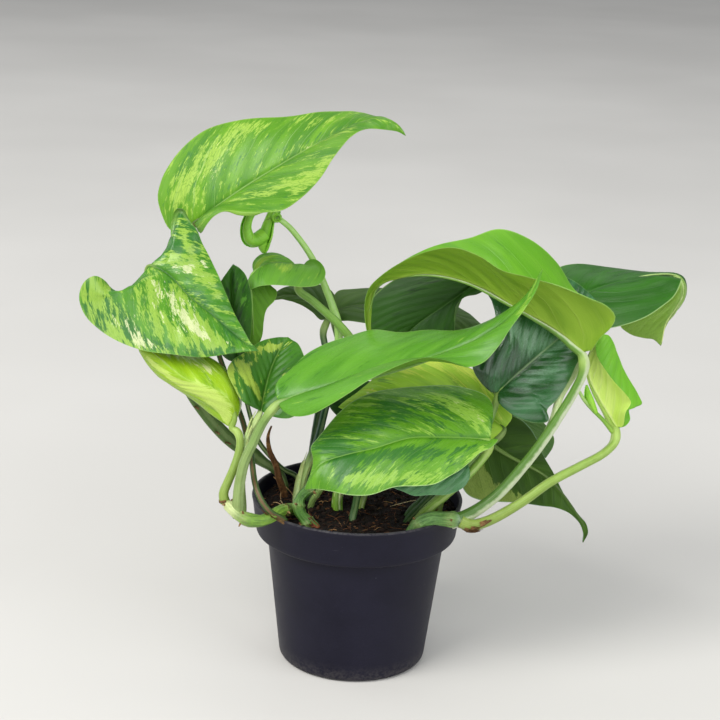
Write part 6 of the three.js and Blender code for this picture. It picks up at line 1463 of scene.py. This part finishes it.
cut = Build()
for q in range(6):
    a = math.radians(-97 + 60 * q)
    rad, tan = np.array([math.cos(a), math.sin(a), 0]), np.array([-math.sin(a), math.cos(a), 0])
    V = []
    for r in (35, 46):
        for w, z in ((-7, -1), (7, -1), (7, 1.7), (6.4, 2.4), (-6.4, 2.4), (-7, 1.7)):
            V.append(rad * r + tan * w + np.array([0, 0, z]))
    F = [(0, 1, 2, 3, 4, 5), (11, 10, 9, 8, 7, 6)] + [(j, j + 6, (j + 1) % 6 + 6, (j + 1) % 6) for j in range(6)]
    cut.add(V, F, 0)
me = bpy.data.meshes.new("slot_cutters")
me.from_pydata((np.vstack(cut.V) * MM).tolist(), [], cut.F)
cutter = bpy.data.objects.new("slot_cutters", me)
bpy.context.scene.collection.objects.link(cutter)
mod = pot.modifiers.new("slots", "BOOLEAN")
mod.operation, mod.solver, mod.object = "DIFFERENCE", "EXACT", cutter
bpy.context.view_layer.update()
done = bpy.data.meshes.new_from_object(pot.evaluated_get(bpy.context.evaluated_depsgraph_get()))
pot.modifiers.clear()
pot.data = done
bpy.data.objects.remove(cutter)
bpy.data.meshes.remove(me)
pot.data.polygons.foreach_set("use_smooth", np.ones(len(pot.data.polygons), bool))
pot.data.set_sharp_from_angle(angle=math.radians(40))

# ------------------------------------------------------------------ soil
BUMPS = [(-30, -34, 2.2, 12), (18, -40, 1.6, 14), (40, 14, -1.4, 16), (-8, 30, 1.8, 18), (-40, 18, -1.5, 12), (4, -12, -1.2, 12), (28, 34, 1.2, 14), (-16, -4, 1.0, 10)]


def ground(x, y):
    z = 90.0 + 0 * x
    for a, b, h, s in BUMPS:
        z = z + h * np.exp(-((x - a) ** 2 + (y - b) ** 2) / (2 * s * s))
    return z


def soil_top(x, y):
    P = np.stack([x / 7, y / 7, 0 * x], -1)
    z = ground(x, y) + 1.1 * fbm(P, 3, 5) + 0.7 * fbm(P * 4.3, 3, 6)
    return z + 0.45 * np.abs(fbm(P * 13, 2, 7))


B = Build()
seg, rings = 260, 110
V, F = [(0, 0, float(soil_top(np.array(0.0), np.array(0.0))))], []
rad = 56.9 * np.linspace(0, 1, rings + 1)[1:] ** 0.85
ang = np.linspace(0, 2 * np.pi, seg, endpoint=False)
for r in rad:
    x, y = r * np.cos(ang), r * np.sin(ang)
    z = soil_top(x, y)
    V += list(zip(x, y, z))
side = [(55.6, 79.0), (54.2, 77.4), (50.2, 76.4), (49.6, 74.8), (45.0, 38.0), (40.7, 4.2), (38.9, 2.4)]
for r, z in side:
    V += [(r * math.cos(a), r * math.sin(a), z) for a in ang]
V.append((0, 0, 2.4))
for j in range(seg):
    F.append((0, 1 + j, 1 + (j + 1) % seg))
n_rings = rings + len(side)
for i in range(n_rings - 1):
    for j in range(seg):
        a, c = 1 + i * seg + j, 1 + i * seg + (j + 1) % seg
        F.append((a, a + seg, c + seg, c))
last = 1 + (n_rings - 1) * seg
for j in range(seg):
    F.append((last + j, len(V) - 1, last + (j + 1) % seg))
B.add(np.array(V, float), F, 0)
B.make("compost", [soil_material("compost")], replaces=("soil",))

# an icosphere's vertices and faces, for crumbs
G5 = (1 + 5 ** 0.5) / 2
ICO_V = [(-1, G5, 0), (1, G5, 0), (-1, -G5, 0), (1, -G5, 0), (0, -1, G5), (0, 1, G5), (0, -1, -G5), (0, 1, -G5), (G5, 0, -1), (G5, 0, 1), (-G5, 0, -1), (-G5, 0, 1)]
ICO_F = [(0, 11, 5), (0, 5, 1), (0, 1, 7), (0, 7, 10), (0, 10, 11), (1, 5, 9), (5, 11, 4), (11, 10, 2), (10, 7, 6), (7, 1, 8), (3, 9, 4), (3, 4, 2), (3, 2, 6), (3, 6, 8), (3, 8, 9), (4, 9, 5), (2, 4, 11), (6, 2, 10), (8, 6, 7), (9, 8, 1)]


def split_once(V, F):
    V = [np.array(v, float) / np.linalg.norm(v) for v in V]
    mid, out = {}, []

    def half(a, b):
        k = (min(a, b), max(a, b))
        if k not in mid:
            v = V[a] + V[b]
            mid[k] = len(V)
            V.append(v / np.linalg.norm(v))
        return mid[k]
    for a, b, c in F:
        x, y, z = half(a, b), half(b, c), half(c, a)
        out += [(a, x, z), (b, y, x), (c, z, y), (x, y, z)]
    return np.array(V), out


BALL_V, BALL_F = split_once(ICO_V, ICO_F)
rng = np.random.default_rng(11)
B = Build()
for q in range(1150):
    r, a = 56.0 * math.sqrt(rng.random()), rng.random() * 2 * math.pi
    x, y = r * math.cos(a), r * math.sin(a)
    s = 0.45 + 1.5 * rng.random() ** 3
    stretch = np.array([1, 0.55 + 0.5 * rng.random(), 0.45 + 0.4 * rng.random()])
    rot = Matrix.Rotation(rng.random() * 6.28, 3, Vector(rng.normal(size=3)).normalized())
    off = fbm(BALL_V * 1.4 + q * 3.1, 2, 9)
    V = BALL_V * (1 + 0.55 * off)[:, None] * stretch * s
    V = V @ np.array(rot).T
    z = float(soil_top(np.array(x), np.array(y))) + s * 0.25
    B.add(V + np.array([x, y, z]), BALL_F, 0, paint=np.tile([rng.random(), 0, 0, 1], (len(V), 1)))
B.make("compost_crumbs", [crumb_material("crumbs", (9, 6, 4), (36, 22, 14), (104, 68, 42), 0.66)])

B = Build()
for q in range(300):
    r, a = 55.0 * math.sqrt(rng.random()), rng.random() * 2 * math.pi
    h = rng.random() * 2 * math.pi
    ln = 3 + 13 * rng.random() ** 2
    pts, x, y = [], r * math.cos(a), r * math.sin(a)
    for k in range(6):
        z = float(soil_top(np.array(x), np.array(y))) + 0.25 + 1.1 * math.sin(math.pi * k / 5) * rng.random()
        pts.append((x, y, z))
        h += (rng.random() - 0.5) * 1.1
        x, y = x + math.cos(h) * ln / 5, y + math.sin(h) * ln / 5
        if math.hypot(x, y) > 55.8:
            break
    if len(pts) < 3:
        continue
    w = 0.10 + 0.16 * rng.random()
    B_tube(B, dense(pts, 6), [(0, w), (0.7, w * 0.9), (1, w * 0.3)], 0, sides=6, step=0.9, seed=q, groove=0)
    k = len(B.PA[-1])
    B.PA[-1] = np.tile([rng.random(), 0, 0, 1], (k, 1))
B.make("coir_fibres", [crumb_material("fibres", (58, 34, 20), (112, 72, 42), (176, 138, 92), 0.6)])

# ------------------------------------------------------------------ floor, light, camera
scene = bpy.context.scene
scene.view_settings.view_transform = "Standard"

floor_mat = Mat("floor")
p = floor_mat.node("ShaderNodeTexCoord").outputs["Object"]
a = floor_mat.noise(p, 1.3, 3.0, 0.6)
floor_mat.surface(floor_mat.mix(floor_mat.ramp(a, 0.3, 0.7), C(199, 197, 193), C(207, 205, 201)), floor_mat.ramp(a, 0.3, 0.7, 0.72, 0.8), spec=0.25)
me = bpy.data.meshes.new("floor")
me.from_pydata([(-6, -6, -0.0003), (6, -6, -0.0003), (6, 6, -0.0003), (-6, 6, -0.0003)], [], [(0, 1, 2, 3)])
me.materials.append(floor_mat.m)
floor = bpy.data.objects.new("floor", me)
scene.collection.objects.link(floor)


def area(name, where, size, power, colour, to=(0.0, 0.0, 0.15)):
    d = bpy.data.lights.new(name, "AREA")
    d.shape, d.size, d.energy, d.color = "SQUARE", size, power, colour
    o = bpy.data.objects.new(name, d)
    o.location = where
    o.rotation_mode = "QUATERNION"
    o.rotation_quaternion = (Vector(to) - Vector(where)).to_track_quat("-Z", "Y")
    scene.collection.objects.link(o)


area("key", (-1.6, -1.6, 2.55), 1.8, 103, (1.0, 0.99, 0.96))
area("fill", (3.2, -2.2, 2.0), 3.0, 80, (0.95, 0.975, 1.0))
area("front", (-0.2, -3.7, 2.1), 2.8, 56, (0.98, 0.99, 1.0))
area("top", (0.4, 1.5, 2.9), 2.4, 20, (0.98, 0.99, 1.0))
area("back", (-2.7, 1.3, 1.3), 2.2, 16, (0.98, 0.99, 1.0))
world = bpy.data.worlds.new("studio")
world.use_nodes = True
bg = world.node_tree.nodes["Background"]
bg.inputs[0].default_value = (0.88, 0.90, 0.93, 1)
bg.inputs[1].default_value = 0.42
scene.world = world

# the camera stands where the photograph was taken from
yaw, pitch, roll = -0.00148, 0.29568, -0.03852
fw = Vector((math.sin(yaw) * math.cos(pitch), math.cos(yaw) * math.cos(pitch), -math.sin(pitch)))
rt = Vector((math.cos(yaw), -math.sin(yaw), 0))
up = rt.cross(fw)
ax = math.cos(roll) * rt - math.sin(roll) * up
ay = math.sin(roll) * rt + math.cos(roll) * up
cam = bpy.data.objects.new("camera", bpy.data.cameras.new("camera"))
cam.data.lens, cam.data.sensor_width = 90, 36
cam.matrix_world = Matrix(((ax.x, ay.x, -fw.x, 0), (ax.y, ay.y, -fw.y, -0.960268), (ax.z, ay.z, -fw.z, 0.469986), (0, 0, 0, 1)))
scene.collection.objects.link(cam)
scene.camera = cam
